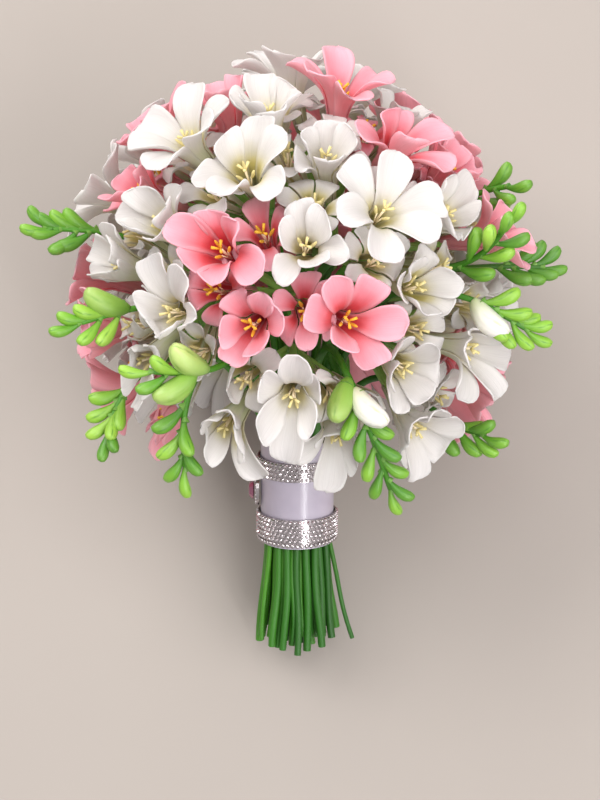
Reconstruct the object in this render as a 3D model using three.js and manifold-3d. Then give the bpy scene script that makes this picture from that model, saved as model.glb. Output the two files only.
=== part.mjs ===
// A hand-tied freesia bouquet, in millimetres, +Z up, lying on its back on a flat surface.
// It is laid out upright first: the handle stands on +Z, its front faces -Y, and the ball of
// florets is round the point BALL on that axis. The whole group is then tipped back and set down.
import * as THREE from "three";
import { mergeVertices } from "three/addons/utils/BufferGeometryUtils.js";
import Module from "manifold-3d";

const wasm = await Module();
wasm.setup();

// The ball of flowers.
const BALL_HEIGHT = 180;
const THROAT_RADIUS = 90;
const THROAT_STAGGER = 5;
const SPRAY_BASE_RADIUS = 46;
const LOWEST_POLAR_ANGLE = 126;
const FLORET_ROOM = 11.6;
const EXIT_ROOM = 4.6;
const BACK_CANDIDATES = 98;
const SPREAD_PASSES = 90;
const NEIGHBOUR_ANGLE = 33;
const WIDEST_SPRAY = 56;
const MOST_FLORETS_IN_A_SPRAY = 6;

// The handle: stems, satin wrap, rhinestone bands and brooch.
const STEM_RADIUS = 2.2;
const STEM_TIP_RADIUS = 1.5;
const STEM_SPACING = 4.7;
const STEM_SIDES = 6;
const BUNCH_RADIUS = 16.4;
const STEM_END_RADIUS = 21;
const STEM_UNEVENNESS = 8;
const WRAP = { from: 54, to: 106, inner: 16.9, outer: 18, sides: 24 };
const BANDS = [
  { name: "rhinestone_band_upper", from: 88, to: 97, rows: 3 },
  { name: "rhinestone_band_lower", from: 55, to: 69, rows: 4 },
];
const BAND_STONES = 26;
const BAND_BACKING = 0.7;
const BAND_RELIEF = 1.1;
const BROOCH = { height: 79, length: 16, width: 13, setting: 2.2, stone: 2.8, rim: 2.6 };

// A floret: a funnel and six lobes, the three outer ones flatter than the three inner ones.
const TUBE_BASE_RADIUS = 1.8;
const CUP = { below: 3.5, above: 3.5, narrow: 2.4, wide: 4.6 };
const THROAT_OUTER = 6.2;
const THROAT_INNER = 5.3;
const THROAT_DEPTH = 10;
const BLADE = 1.1;
const CUPPING = 1.3;
const OUTER_LOBE = { reach: [12, 19.6, 24.2], rise: [5.5, 9.4, 10.6], half: [6.2, 8.6] };
const INNER_LOBE = { reach: [10.4, 16.4, 19.4], rise: [7, 12.8, 15.6], half: [5.4, 7.8] };

// A bud: a club on the spray's stem.
const BUD = { length: 15.5, radius: 4, widest: 0.62, sides: 5 };
const BUD_STEM_SIDES = 4;
const BIG_BUD_SCALE = 1.45;

// Florets that face away from the viewer by more than this have lobes with fewer corners.
const PLAIN_BEHIND = -0.1;

const BUDS_START = 0.42;
const GAP = 0.3;
const BEND_PASSES = 40;
const TILT = 27;
const CAMERA_RISE = 15;
const GOLDEN = 0.61803398875;
const GOLDEN_ANGLE = 2.39996322973;

// Florets on the front of the ball: their colour and places, in millimetres across and up from
// its middle as it is seen.
const FRONT_FLORETS = [
  ["pink", [[-28, 16], [-20, -7]]],
  ["white", [[-2, -26]]],
  ["pink", [
    [24, -3], [-63, 49], [-46, 76], [-25, 72], [25, 67], [43, 60], [61, 53], [79, 35],
    [-96, -20], [-62, -61], [88, -44], [59, 81],
  ]],
  ["white", [
    [-76, 58], [-47, 42], [-63, 19], [-50, -5], [-70, -23], [-34, 49], [-13, 58], [7, 49],
    [0, 91], [18, 87], [43, 78], [-9, 35], [5, 26], [25, 40], [47, 31], [50, 2], [61, -30],
    [54, -14], [90, -3], [-19, -57], [5, -59], [72, -30], [95, 31], [-11, 89],
  ]],
];
// Each spray of buds: where its stem leaves the ball, where its tip is (across, up, and towards
// the viewer), how many buds it carries, how many of them are big, and at which share of the way
// from the ball's inside to the tip they start.
const BUD_SPRAYS = [
  { name: "left_high", exit: [-80, 26], tip: [-114, 24, 34], buds: 8, big: 0 },
  { name: "left_middle", exit: [-72, 0], tip: [-95, -20, 66], buds: 6, big: 1 },
  { name: "left_low", exit: [-77, -34], tip: [-86, -68, 30], buds: 7, big: 0 },
  { name: "lower_left", exit: [-48, -46], tip: [-50, -84, 52], buds: 6, big: 0 },
  { name: "front_left", exit: [-30, -42], tip: [-62, -42, 82], buds: 5, big: 2 },
  { name: "front_middle", exit: [26, -42], tip: [42, -94, 50], buds: 11, big: 2, start: 0.18 },
  { name: "right_middle", exit: [66, 6], tip: [102, -22, 52], buds: 9, big: 1 },
  { name: "right_high", exit: [72, 12], tip: [92, 22, 72], buds: 7, big: 0, start: 0.2 },
  { name: "far_right", exit: [96, 0], tip: [114, 8, 8], buds: 7, big: 0 },
  { name: "right_low", exit: [78, -52], tip: [84, -70, 34], buds: 6, big: 0 },
  { name: "upper_right", exit: [84, 56], tip: [96, 44, 24], buds: 4, big: 0 },
];

const PAINT = {
  white: { color: "#f4efee", roughness: 0.55, metalness: 0 },
  pink: { color: "#f5a9b6", roughness: 0.55, metalness: 0 },
  stem: { color: "#3d8b2c", roughness: 0.6, metalness: 0 },
  bud: { color: "#9cc65a", roughness: 0.5, metalness: 0 },
  satin: { color: "#c9c0cf", roughness: 0.3, metalness: 0 },
  rhinestone: { color: "#d7d3d0", roughness: 0.15, metalness: 0.6 },
  setting: { color: "#c9c5c0", roughness: 0.2, metalness: 1 },
  stone: { color: "#9a5f78", roughness: 0.08, metalness: 0 },
};

const radians = (degrees) => (degrees * Math.PI) / 180;
const vector = (x, y, z) => new THREE.Vector3(x, y, z);
const BALL = vector(0, 0, BALL_HEIGHT);
const UP_IN_VIEW = vector(0, Math.sin(radians(CAMERA_RISE)), Math.cos(radians(CAMERA_RISE)));
const TO_VIEWER = vector(0, -Math.cos(radians(CAMERA_RISE)), Math.sin(radians(CAMERA_RISE)));
// The surface that the bouquet lies on, as a wall that every piece stays in front of.
const FLOOR = {
  normal: vector(0, -Math.cos(radians(TILT)), Math.sin(radians(TILT))),
  offset: -STEM_END_RADIUS * Math.cos(radians(TILT)),
};

// A number from 0 to 1 that differs from one index to the next.
function varied(index, stream) {
  const share = (index + 1) * GOLDEN * (1 + 0.37 * stream) + 0.29 * stream;
  return share - Math.floor(share);
}

function seenAt([across, up, toward]) {
  return vector(across, 0, 0).addScaledVector(UP_IN_VIEW, up).addScaledVector(TO_VIEWER, toward);
}

// The direction from the ball's middle to a place on its front.
function frontDirection([across, up]) {
  const flat = Math.min(Math.hypot(across, up) / THROAT_RADIUS, 0.985);
  const scale = (flat * THROAT_RADIUS) / Math.hypot(across, up);
  const toward = THROAT_RADIUS * Math.sqrt(1 - flat * flat);
  return seenAt([across * scale, up * scale, toward]).normalize();
}

// Pushes sites on the unit sphere apart until each pair has the room that both ask for.
function spread(sites) {
  const lowest = Math.cos(radians(LOWEST_POLAR_ANGLE));
  for (let pass = 0; pass < SPREAD_PASSES; pass += 1) {
    for (let i = 0; i < sites.length; i += 1) {
      for (let j = i + 1; j < sites.length; j += 1) {
        const [a, b] = [sites[i], sites[j]];
        const short = radians(a.room + b.room) - a.direction.angleTo(b.direction);
        if (short <= 0) continue;
        const apart = a.direction.clone().sub(b.direction).normalize();
        const step = short * 0.5;
        const share = a.ease / (a.ease + b.ease);
        a.direction.addScaledVector(apart, step * share).normalize();
        b.direction.addScaledVector(apart, -step * (1 - share)).normalize();
      }
      const low = sites[i].direction;
      if (low.z < lowest) {
        low.z = lowest;
        low.normalize();
      }
    }
  }
}

function layOut() {
  const exits = BUD_SPRAYS.map((spray) => ({
    direction: frontDirection(spray.exit),
    room: EXIT_ROOM,
    ease: 0.3,
  }));
  const florets = [];
  const add = (direction, colour, ease) =>
    florets.push({ direction, colour, ease, room: FLORET_ROOM });
  FRONT_FLORETS.forEach(([colour, places]) =>
    places.forEach((place) => add(frontDirection(place), colour, 0.5)),
  );
  for (let k = 0; k < BACK_CANDIDATES; k += 1) {
    const z = 1 - (2 * (k + 0.5)) / BACK_CANDIDATES;
    const turn = k * GOLDEN_ANGLE;
    const flat = Math.sqrt(1 - z * z);
    const direction = vector(flat * Math.cos(turn), flat * Math.sin(turn), z);
    const behind = direction.dot(TO_VIEWER) < 0.05;
    const high = z > Math.cos(radians(LOWEST_POLAR_ANGLE));
    const free = [...florets, ...exits].every(
      (site) => direction.angleTo(site.direction) > radians(site.room + FLORET_ROOM) * 0.8,
    );
    if (behind && high && free) add(direction, "", 1);
  }
  spread([...florets, ...exits]);
  return { florets, exits };
}


// Joins neighbouring florets of one colour into the sprays that one stem carries.
function gatherSprays(florets) {
  let groups = florets.map((floret, i) => ({
    members: [i],
    colour: floret.colour,
    direction: floret.direction.clone(),
  }));
  const cost = (a, b) => {
    const clash = a.colour !== "" && b.colour !== "" && a.colour !== b.colour;
    if (clash || a.members.length + b.members.length > MOST_FLORETS_IN_A_SPRAY) return Infinity;
    const angles = a.members.flatMap((i) =>
      b.members.map((j) => florets[i].direction.angleTo(florets[j].direction)),
    );
    const apart = Math.min(...angles) > radians(NEIGHBOUR_ANGLE);
    if (apart || Math.max(...angles) > radians(WIDEST_SPRAY)) return Infinity;
    return Math.max(...angles) + 0.05 * (a.members.length + b.members.length);
  };
  for (;;) {
    let best = { cost: Infinity };
    groups.forEach((a, i) =>
      groups.slice(i + 1).forEach((b) => {
        const price = cost(a, b);
        if (price < best.cost) best = { cost: price, a, b };
      }),
    );
    if (best.cost === Infinity) break;
    const members = [...best.a.members, ...best.b.members];
    const direction = vector(0, 0, 0);
    members.forEach((m) => direction.add(florets[m].direction));
    const colour = best.a.colour || best.b.colour;
    groups = groups.filter((group) => group !== best.a && group !== best.b);
    groups.push({ members, colour, direction: direction.normalize() });
  }
  const plain = groups.filter((group) => group.colour === "");
  plain.forEach((group, k) => {
    group.colour = k % 3 === 1 ? "pink" : "white";
  });
  return groups;
}

// Where each stem stands in the tied bunch: under its own direction, and clear of the others.
function bunchPlaces(directions) {
  const reach = BUNCH_RADIUS - STEM_RADIUS;
  const widest = Math.sin(radians(LOWEST_POLAR_ANGLE) / 2);
  const places = directions.map((direction) => {
    const polar = Math.acos(direction.z);
    const turn = Math.atan2(direction.y, direction.x);
    const out = (reach * Math.sin(polar / 2)) / widest;
    return vector(out * Math.cos(turn), out * Math.sin(turn), 0);
  });
  for (let pass = 0; pass < SPREAD_PASSES * 3; pass += 1) {
    for (let i = 0; i < places.length; i += 1) {
      for (let j = i + 1; j < places.length; j += 1) {
        const apart = places[i].clone().sub(places[j]);
        const short = STEM_SPACING - apart.length();
        if (short <= 0) continue;
        apart.setLength(short / 2);
        places[i].add(apart);
        places[j].sub(apart);
      }
      if (places[i].length() > reach) places[i].setLength(reach);
    }
  }
  return places;
}

function bezier(from, fromPull, toPull, to, steps) {
  const curve = new THREE.CubicBezierCurve3(from, fromPull, toPull, to);
  return Array.from({ length: steps }, (_, k) => curve.getPoint((k + 1) / steps));
}

// A stem's centre line: splayed at the cut end, straight in the wrap, then out to its own end.
function stemLine(place, index, end, endDirection) {
  const cut = place.clone().multiplyScalar(STEM_END_RADIUS / BUNCH_RADIUS);
  cut.z = STEM_UNEVENNESS * varied(index, 1) * (place.y > BUNCH_RADIUS * 0.6 ? 0 : 1);
  const low = place.clone().setZ(WRAP.from - 2);
  const high = place.clone().setZ(WRAP.to + 2);
  const run = high.distanceTo(end);
  const pullUp = high.clone().add(vector(place.x * 0.012 * run, place.y * 0.012 * run, run * 0.42));
  const pullOut = end.clone().addScaledVector(endDirection, -run * 0.4);
  return [cut, low, high, ...bezier(high, pullUp, pullOut, end, 5)];
}

// Bends the stems' free points until they touch no other stem and no other spray's cup.
function bendClear(stems, cups) {
  const runs = [...stems, ...cups];
  for (let pass = 0; pass < BEND_PASSES; pass += 1) {
    runs.forEach((one, i) =>
      runs.slice(i + 1).forEach((other) => {
        if (other.stem === one) return;
        for (let a = one.from; a + 1 < one.line.length; a += 1) {
          for (let b = other.from; b + 1 < other.line.length; b += 1) {
            const [p, q] = [one.line, other.line];
            const [here, there] = nearest(p[a], p[a + 1], q[b], q[b + 1]);
            const apart = here.sub(there);
            const short = one.girth + other.girth + GAP - apart.length();
            if (short <= 0) continue;
            apart.setLength(short * 0.5);
            [a, a + 1].filter((k) => one.free(k)).forEach((k) => p[k].add(apart));
            [b, b + 1].filter((k) => other.free(k)).forEach((k) => q[k].sub(apart));
          }
        }
      }),
    );
  }
}

// The mesh of a list of points and triangles, turned so that its faces point out.
function closedGeometry(points, triangles) {
  let volume = 0;
  triangles.forEach(([a, b, c]) => {
    volume += points[a].dot(points[b].clone().cross(points[c]));
  });
  const index = triangles.flatMap(([a, b, c]) => (volume < 0 ? [a, c, b] : [a, b, c]));
  return new THREE.BufferGeometry().setFromPoints(points).setIndex(index);
}

// Closed rings of points joined in order, with a cap at each end: a flat fan, or a pointed tip.
function loft(rings, tip) {
  const sides = rings[0].length;
  const points = rings.flat();
  const triangles = [];
  for (let r = 0; r + 1 < rings.length; r += 1) {
    for (let k = 0; k < sides; k += 1) {
      const [a, b] = [r * sides + k, r * sides + ((k + 1) % sides)];
      triangles.push([a, b, b + sides], [a, b + sides, a + sides]);
    }
  }
  for (let k = 1; k + 1 < sides; k += 1) triangles.push([0, k + 1, k]);
  const last = (rings.length - 1) * sides;
  if (tip) {
    points.push(tip);
    for (let k = 0; k < sides; k += 1) {
      triangles.push([last + k, last + ((k + 1) % sides), points.length - 1]);
    }
  } else {
    for (let k = 1; k + 1 < sides; k += 1) triangles.push([last, last + k, last + k + 1]);
  }
  return closedGeometry(points, triangles);
}

function ringAt(centre, across, over, radius, sides, roll = 0) {
  return Array.from({ length: sides }, (_, k) => {
    const angle = roll + (2 * Math.PI * k) / sides;
    return centre
      .clone()
      .addScaledVector(across, radius * Math.cos(angle))
      .addScaledVector(over, radius * Math.sin(angle));
  });
}

// Two directions square to an axis, the first as near as can be to a wanted one.
function squareTo(axis, wanted) {
  const across = wanted.clone().addScaledVector(axis, -wanted.dot(axis)).normalize();
  return [across, axis.clone().cross(across)];
}

function tube(line, radii, sides, endAxis) {
  let across = vector(1, 0.3, 0);
  const rings = line.map((point, k) => {
    const ahead = line[Math.min(k + 1, line.length - 1)];
    const behind = line[Math.max(k - 1, 0)];
    const ends = endAxis && k === line.length - 1;
    const axis = ends ? endAxis : ahead.clone().sub(behind).normalize();
    const [square, over] = squareTo(axis, across);
    across = square;
    return ringAt(point, square, over, radii[k], sides);
  });
  return loft(rings);
}

function asSolid(geometry) {
  const bare = new THREE.BufferGeometry()
    .setAttribute("position", geometry.getAttribute("position"))
    .setIndex(geometry.index);
  const merged = mergeVertices(bare, 1e-3);
  return new wasm.Manifold(
    new wasm.Mesh({
      numProp: 3,
      vertProperties: new Float32Array(merged.attributes.position.array),
      triVerts: new Uint32Array(merged.index.array),
    }),
  );
}

function asGeometry(solid) {
  const mesh = solid.getMesh();
  return new THREE.BufferGeometry()
    .setAttribute("position", new THREE.BufferAttribute(mesh.vertProperties, 3))
    .setIndex(new THREE.BufferAttribute(mesh.triVerts, 1));
}

function fused(geometries) {
  return asGeometry(geometries.map(asSolid).reduce((whole, piece) => whole.add(piece)));
}

// The nearest points of two segments.
function nearest(a0, a1, b0, b1) {
  const [u, v, w] = [a1.clone().sub(a0), b1.clone().sub(b0), a0.clone().sub(b0)];
  const [a, b, c, d, e] = [u.dot(u), u.dot(v), v.dot(v), u.dot(w), v.dot(w)];
  const cross = a * c - b * b;
  const clamp = (x) => Math.min(Math.max(x, 0), 1);
  let s = cross > 1e-9 ? clamp((b * e - c * d) / cross) : 0;
  const t = c > 1e-9 ? clamp((b * s + e) / c) : 0;
  s = a > 1e-9 ? clamp((b * t - d) / a) : 0;
  return [a0.clone().addScaledVector(u, s), b0.clone().addScaledVector(v, t)];
}

// Moves a point to the near side of every wall, by a margin that leaves room for a blade.
function settle(point, heart, walls, margin) {
  for (let pass = 0; pass < 14; pass += 1) {
    walls.forEach((wall) => {
      const short = wall.offset + margin - point.dot(wall.normal);
      if (short > 0) point.addScaledVector(wall.normal, short);
    });
  }
  walls.forEach((wall) => {
    const inside = heart.dot(wall.normal) - wall.offset - margin;
    const short = wall.offset + margin - point.dot(wall.normal);
    if (short > 1e-6 && inside > 0) point.lerp(heart, short / (short + inside));
  });
  return point;
}

// A bud that grows from a point inside its stem, widens past its middle and comes to a tip.
function budGeometry(bud) {
  const [across, over] = squareTo(bud.axis, vector(0.3, 0.2, 1));
  const at = (share) => bud.foot.clone().addScaledVector(bud.axis, share * bud.length);
  const points = [at(0), ...ringAt(at(BUD.widest), across, over, bud.radius, BUD.sides), at(1)];
  const triangles = Array.from({ length: BUD.sides }, (_, k) => {
    const [a, b] = [1 + k, 1 + ((k + 1) % BUD.sides)];
    return [[0, b, a], [a, b, BUD.sides + 1]];
  });
  return closedGeometry(points, triangles.flat());
}

// The centre line and the buds of one spray of buds.
function shapeBudSpray(spray, exit, place, index) {
  const leaves = BALL.clone().addScaledVector(exit.direction, 74);
  const tip = BALL.clone().add(seenAt(spray.tip));
  const outward = tip.clone().sub(BALL.clone().addScaledVector(exit.direction, 97)).normalize();
  const run = leaves.distanceTo(tip);
  const line = stemLine(place, index, leaves, exit.direction);
  const pullOut = leaves.clone().addScaledVector(exit.direction, run * 0.5);
  const pullIn = tip.clone().addScaledVector(outward, -run * 0.35);
  const outer = new THREE.CubicBezierCurve3(leaves, pullOut, pullIn, tip);
  line.push(...[0.25, 0.5, 0.75, 1].map((t) => outer.getPoint(t)));
  const buds = Array.from({ length: spray.buds }, (_, k) => {
    const start = spray.start ?? BUDS_START;
    const t = start + ((0.99 - start) * k) / (spray.buds - 1);
    const foot = outer.getPoint(t);
    const along = outer.getTangent(t);
    const away = foot.clone().sub(BALL).normalize();
    const side = along.clone().cross(away.clone().add(TO_VIEWER)).normalize();
    const turn = k === spray.buds - 1 ? 0 : k % 2 === 0 ? 0.62 : -0.62;
    const axis = along.clone().multiplyScalar(0.85).addScaledVector(side, turn);
    axis.addScaledVector(away, turn === 0 ? 0 : 0.2).normalize();
    const size = k < spray.big ? BIG_BUD_SCALE : 1.08 - (0.25 * k) / spray.buds;
    return { foot, axis, length: BUD.length * size, radius: BUD.radius * size };
  });
  const radii = line.map((_, k) => STEM_RADIUS + (STEM_TIP_RADIUS - STEM_RADIUS) * (k / 11));
  radii.fill(STEM_RADIUS, 0, 3);
  return { line, radii, buds, from: 2, girth: STEM_RADIUS, free: (k) => k > 3 && k < 9 };
}

// The round-ended rods that a spray of buds takes up, which petals keep clear of.
function capsulesOf({ line, buds }) {
  const capsules = buds.map((bud) => ({
    from: bud.foot.clone().addScaledVector(bud.axis, bud.length * 0.25),
    to: bud.foot.clone().addScaledVector(bud.axis, bud.length * 0.82),
    radius: bud.radius,
  }));
  for (let k = 3; k + 1 < line.length; k += 1) {
    capsules.push({ from: line[k], to: line[k + 1], radius: STEM_RADIUS });
  }
  return capsules;
}

// The walls that one floret keeps behind: half way to each neighbour, and clear of buds.
function wallsOf(floret, others, capsules) {
  const shared = [];
  const own = [{ normal: FLOOR.normal, offset: FLOOR.offset }];
  others.forEach((other) => {
    if (other === floret || floret.direction.angleTo(other.direction) > radians(62)) return;
    const along = floret.direction.clone().cross(other.direction);
    const middle = floret.throat.clone().add(other.throat).multiplyScalar(0.5);
    const kin = other.spray === floret.spray;
    const root = kin ? BALL : floret.base.clone().add(other.base).multiplyScalar(0.5);
    const normal = along.cross(middle.clone().sub(root)).normalize();
    if (normal.dot(floret.direction) < normal.dot(other.direction)) normal.negate();
    (kin ? shared : own).push({ normal, offset: middle.dot(normal) + GAP / 2 });
  });
  capsules.forEach((capsule) => {
    const [here, there] = nearest(floret.base, floret.crown, capsule.from, capsule.to);
    const normal = here.clone().sub(there);
    if (normal.length() > 38) return;
    normal.normalize();
    own.push({ normal, offset: there.dot(normal) + capsule.radius + GAP });
  });
  return { own, all: [...own, ...shared] };
}

// The rows of one lobe, each a left and a right edge with a spine of two faces between them.
function lobeRows(place, lobe, chosen, root, points) {
  const rows = chosen.map((r) => {
    const wide = Math.atan2(lobe.half[r], lobe.reach[r]);
    const edgeOut = Math.hypot(lobe.reach[r], lobe.half[r]) - CUPPING * 0.4;
    return {
      left: place(-wide, edgeOut, lobe.rise[r] + CUPPING, 0),
      spine: place(0, lobe.reach[r], lobe.rise[r], BLADE / 2),
      right: place(wide, edgeOut, lobe.rise[r] + CUPPING, 0),
    };
  });
  const tip = place(0, lobe.reach[2], lobe.rise[2], 0);
  const line = [root, ...rows.map((row) => row.spine), tip];
  const facing = place.axis;
  const placed = rows.map((row, k) => {
    const face = line[k + 2].clone().sub(line[k]).cross(row.right.clone().sub(row.left));
    if (face.length() < 1) face.copy(facing);
    if (face.dot(facing) < 0) face.negate();
    face.setLength(BLADE / 2);
    return {
      left: points.push(row.left) - 1,
      right: points.push(row.right) - 1,
      front: points.push(row.spine.clone().add(face)) - 1,
      back: points.push(row.spine.clone().sub(face)) - 1,
    };
  });
  return { rows: placed, tip: points.push(tip) - 1 };
}

// The two faces of a lobe from the throat's edges to its tip.
function lobeTriangles({ rows, tip }, [i0, i1], [o0, o1]) {
  const [first, last] = [rows[0], rows[rows.length - 1]];
  const triangles = [
    [i0, first.left, first.front], [i0, first.front, i1], [i1, first.front, first.right],
    [o0, first.back, first.left], [o0, o1, first.back], [o1, first.right, first.back],
    [o0, first.left, i0], [i1, first.right, o1],
    [last.left, tip, last.front], [last.front, tip, last.right],
    [last.left, last.back, tip], [last.back, last.right, tip],
  ];
  rows.slice(1).forEach((high, k) => {
    const low = rows[k];
    triangles.push(
      [low.left, high.left, high.front], [low.left, high.front, low.front],
      [low.front, high.front, high.right], [low.front, high.right, low.right],
      [low.left, high.back, high.left], [low.left, low.back, high.back],
      [low.back, high.right, high.back], [low.back, low.right, high.right],
    );
  });
  return triangles;
}

function floretGeometry(floret, walls) {
  const [across, over] = squareTo(floret.axis, vector(0.4, 0.3, 1));
  const point = (angle, out, rise) =>
    floret.throat
      .clone()
      .addScaledVector(across, out * Math.cos(angle))
      .addScaledVector(over, out * Math.sin(angle))
      .addScaledVector(floret.axis, rise);
  const tubeAxis = floret.throat.clone().sub(floret.base).normalize();
  const [tubeAcross, tubeOver] = squareTo(tubeAxis, across);
  const points = [];
  const keep = (p) => points.push(settle(p, floret.throat, walls.own, 0)) - 1;
  const angleOf = (k) => floret.roll + (k * Math.PI) / 3;
  const six = [0, 1, 2, 3, 4, 5];
  const foot = ringAt(floret.base, tubeAcross, tubeOver, TUBE_BASE_RADIUS, 3, floret.roll);
  const base = foot.map(keep);
  const outer = six.map((k) => keep(point(angleOf(k), THROAT_OUTER, 0)));
  const inner = six.map((k) => keep(point(angleOf(k), THROAT_INNER, 0.5)));
  const deep = keep(point(0, 0, -THROAT_DEPTH));
  const triangles = [[base[0], base[2], base[1]]];
  six.forEach((j) => {
    const next = (j + 1) % 6;
    const place = (turn, out, rise, margin) => {
      const at = point(angleOf(j + 0.5) + turn, out * floret.open, rise / floret.open);
      return settle(at, floret.throat, walls.all, margin);
    };
    place.axis = floret.axis;
    const shape = j % 2 === 0 ? OUTER_LOBE : INNER_LOBE;
    const root = points[inner[j]].clone().lerp(points[inner[next]], 0.5);
    const lobe = lobeRows(place, shape, floret.plain ? [1] : [0, 1], root, points);
    triangles.push(...lobeTriangles(lobe, [inner[j], inner[next]], [outer[j], outer[next]]));
    const corner = base[Math.floor(next / 2) % 3];
    triangles.push([deep, inner[j], inner[next]], [outer[next], outer[j], corner]);
    if (j % 2 === 0) triangles.push([outer[next], corner, base[(j / 2 + 1) % 3]]);
  });
  return closedGeometry(points, triangles);
}

function stalkCup(base, direction) {
  const [across, over] = squareTo(direction, vector(1, 0.2, 0.1));
  const ring = (height, radius) =>
    ringAt(base.clone().addScaledVector(direction, height), across, over, radius, 6);
  return loft([ring(-CUP.below, CUP.narrow), ring(CUP.above, CUP.wide)]);
}

// A ring of faceted stones: each cell of the ring's outside is raised to a point.
function bandGeometry(band) {
  const inner = WRAP.outer + GAP;
  const skin = inner + BAND_BACKING;
  const points = [];
  const triangles = [];
  const put = (radius, column, height) => {
    const angle = (2 * Math.PI * column) / BAND_STONES;
    return points.push(vector(radius * Math.cos(angle), radius * Math.sin(angle), height)) - 1;
  };
  const columns = Array.from({ length: BAND_STONES }, (_, k) => k);
  const step = (band.to - band.from) / band.rows;
  const grid = Array.from({ length: band.rows + 1 }, (_, r) =>
    columns.map((k) => put(skin, k, band.from + r * step)),
  );
  const low = columns.map((k) => put(inner, k, band.from));
  const high = columns.map((k) => put(inner, k, band.to));
  columns.forEach((k) => {
    const n = (k + 1) % BAND_STONES;
    for (let r = 0; r < band.rows; r += 1) {
      const peak = put(skin + BAND_RELIEF, k + 0.5, band.from + (r + 0.5) * step);
      const [a, b, c, d] = [grid[r][k], grid[r][n], grid[r + 1][n], grid[r + 1][k]];
      triangles.push([a, b, peak], [b, c, peak], [c, d, peak], [d, a, peak]);
    }
    const top = grid[band.rows];
    triangles.push([low[n], low[k], high[k]], [low[n], high[k], high[n]]);
    triangles.push([grid[0][n], grid[0][k], low[k]], [grid[0][n], low[k], low[n]]);
    triangles.push([top[k], top[n], high[n]], [top[k], high[n], high[k]]);
  });
  return closedGeometry(points, triangles);
}

// An oval disc on the side of the handle, its levels given as distance out and share of its size.
function ovalGeometry(levels, length, width, sides) {
  const rings = levels.map(([out, share]) =>
    Array.from({ length: sides }, (_, k) => {
      const angle = (2 * Math.PI * k) / sides;
      const y = (width / 2) * share * Math.cos(angle);
      return vector(-out, y, (length / 2) * share * Math.sin(angle));
    }),
  );
  return loft(rings);
}

function mesh(name, geometry, paint) {
  const material = new THREE.MeshStandardMaterial({ ...PAINT[paint], flatShading: true });
  const made = new THREE.Mesh(geometry, material);
  made.name = name;
  return made;
}

// A mesh whose geometry is kept round its own anchor, so that its position places it.
function anchored(name, geometry, anchor, paint) {
  const made = mesh(name, geometry.translate(-anchor.x, -anchor.y, -anchor.z), paint);
  made.position.copy(anchor);
  return made;
}

function numbered(stem, index) {
  return `${stem}_${String(index + 1).padStart(2, "0")}`;
}

function growBouquet() {
  const { florets, exits } = layOut();
  const sprays = gatherSprays(florets);
  const places = bunchPlaces([...sprays, ...exits].map((site) => site.direction));
  const budSprays = BUD_SPRAYS.map((spray, k) => ({
    name: spray.name,
    ...shapeBudSpray(spray, exits[k], places[sprays.length + k], sprays.length + k),
  }));
  const cups = sprays.map((spray, s) => {
    spray.base = BALL.clone().addScaledVector(spray.direction, SPRAY_BASE_RADIUS);
    const seat = spray.base.clone().addScaledVector(spray.direction, -CUP.below - GAP);
    spray.line = stemLine(places[s], s, seat, spray.direction);
    spray.from = 2;
    spray.girth = STEM_RADIUS;
    spray.free = (k) => k > 3 && k < spray.line.length - 1;
    const top = spray.base.clone().addScaledVector(spray.direction, CUP.above);
    return { line: [seat, top], from: 0, girth: CUP.wide, free: () => false, stem: spray };
  });
  bendClear([...sprays, ...budSprays], cups);
  const capsules = budSprays.flatMap(capsulesOf);
  sprays.forEach((spray, s) => {
    spray.members.forEach((i) => {
      const floret = florets[i];
      floret.spray = s;
      floret.height = THROAT_STAGGER * (2 * varied(i, 0) - 1);
      floret.throat = BALL.clone().addScaledVector(floret.direction, THROAT_RADIUS + floret.height);
      const aside = floret.throat.clone().sub(spray.base).projectOnPlane(spray.direction);
      floret.base = spray.base.clone().add(aside.clampLength(0, CUP.wide - TUBE_BASE_RADIUS));
      floret.axis = floret.direction.clone().add(vector(0, 0, 0.16)).normalize();
      floret.crown = floret.throat.clone().addScaledVector(floret.axis, 3);
      floret.roll = 2 * Math.PI * varied(i, 2);
      floret.open = 0.92 + 0.2 * varied(i, 3);
      floret.plain = floret.direction.dot(TO_VIEWER) < PLAIN_BEHIND;
    });
  });
  const flowers = new THREE.Group();
  const stems = new THREE.Group();
  const counts = { white: 0, pink: 0 };
  sprays.forEach((spray, s) => {
    const blooms = spray.members.map((i) =>
      floretGeometry(florets[i], wallsOf(florets[i], florets, capsules)),
    );
    const geometry = fused([stalkCup(spray.base, spray.direction), ...blooms]);
    const name = numbered(`${spray.colour}_florets`, counts[spray.colour]);
    counts[spray.colour] += 1;
    flowers.add(anchored(name, geometry, spray.base, spray.colour));
    const radii = spray.line.map((_, k) => (k < 3 ? STEM_RADIUS : STEM_RADIUS - 0.05 * (k - 2)));
    const stalk = tube(spray.line, radii, STEM_SIDES, spray.direction);
    stems.add(mesh(numbered("flower_stem", s), stalk, "stem"));
  });
  budSprays.forEach((spray) => {
    const stalk = tube(spray.line, spray.radii, BUD_STEM_SIDES);
    const geometry = fused([stalk, ...spray.buds.map(budGeometry)]);
    stems.add(mesh(`bud_spray_${spray.name}`, geometry, "bud"));
  });
  const bouquet = new THREE.Group();
  bouquet.add(flowers, stems, wrapHandle());
  return bouquet;
}

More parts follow.
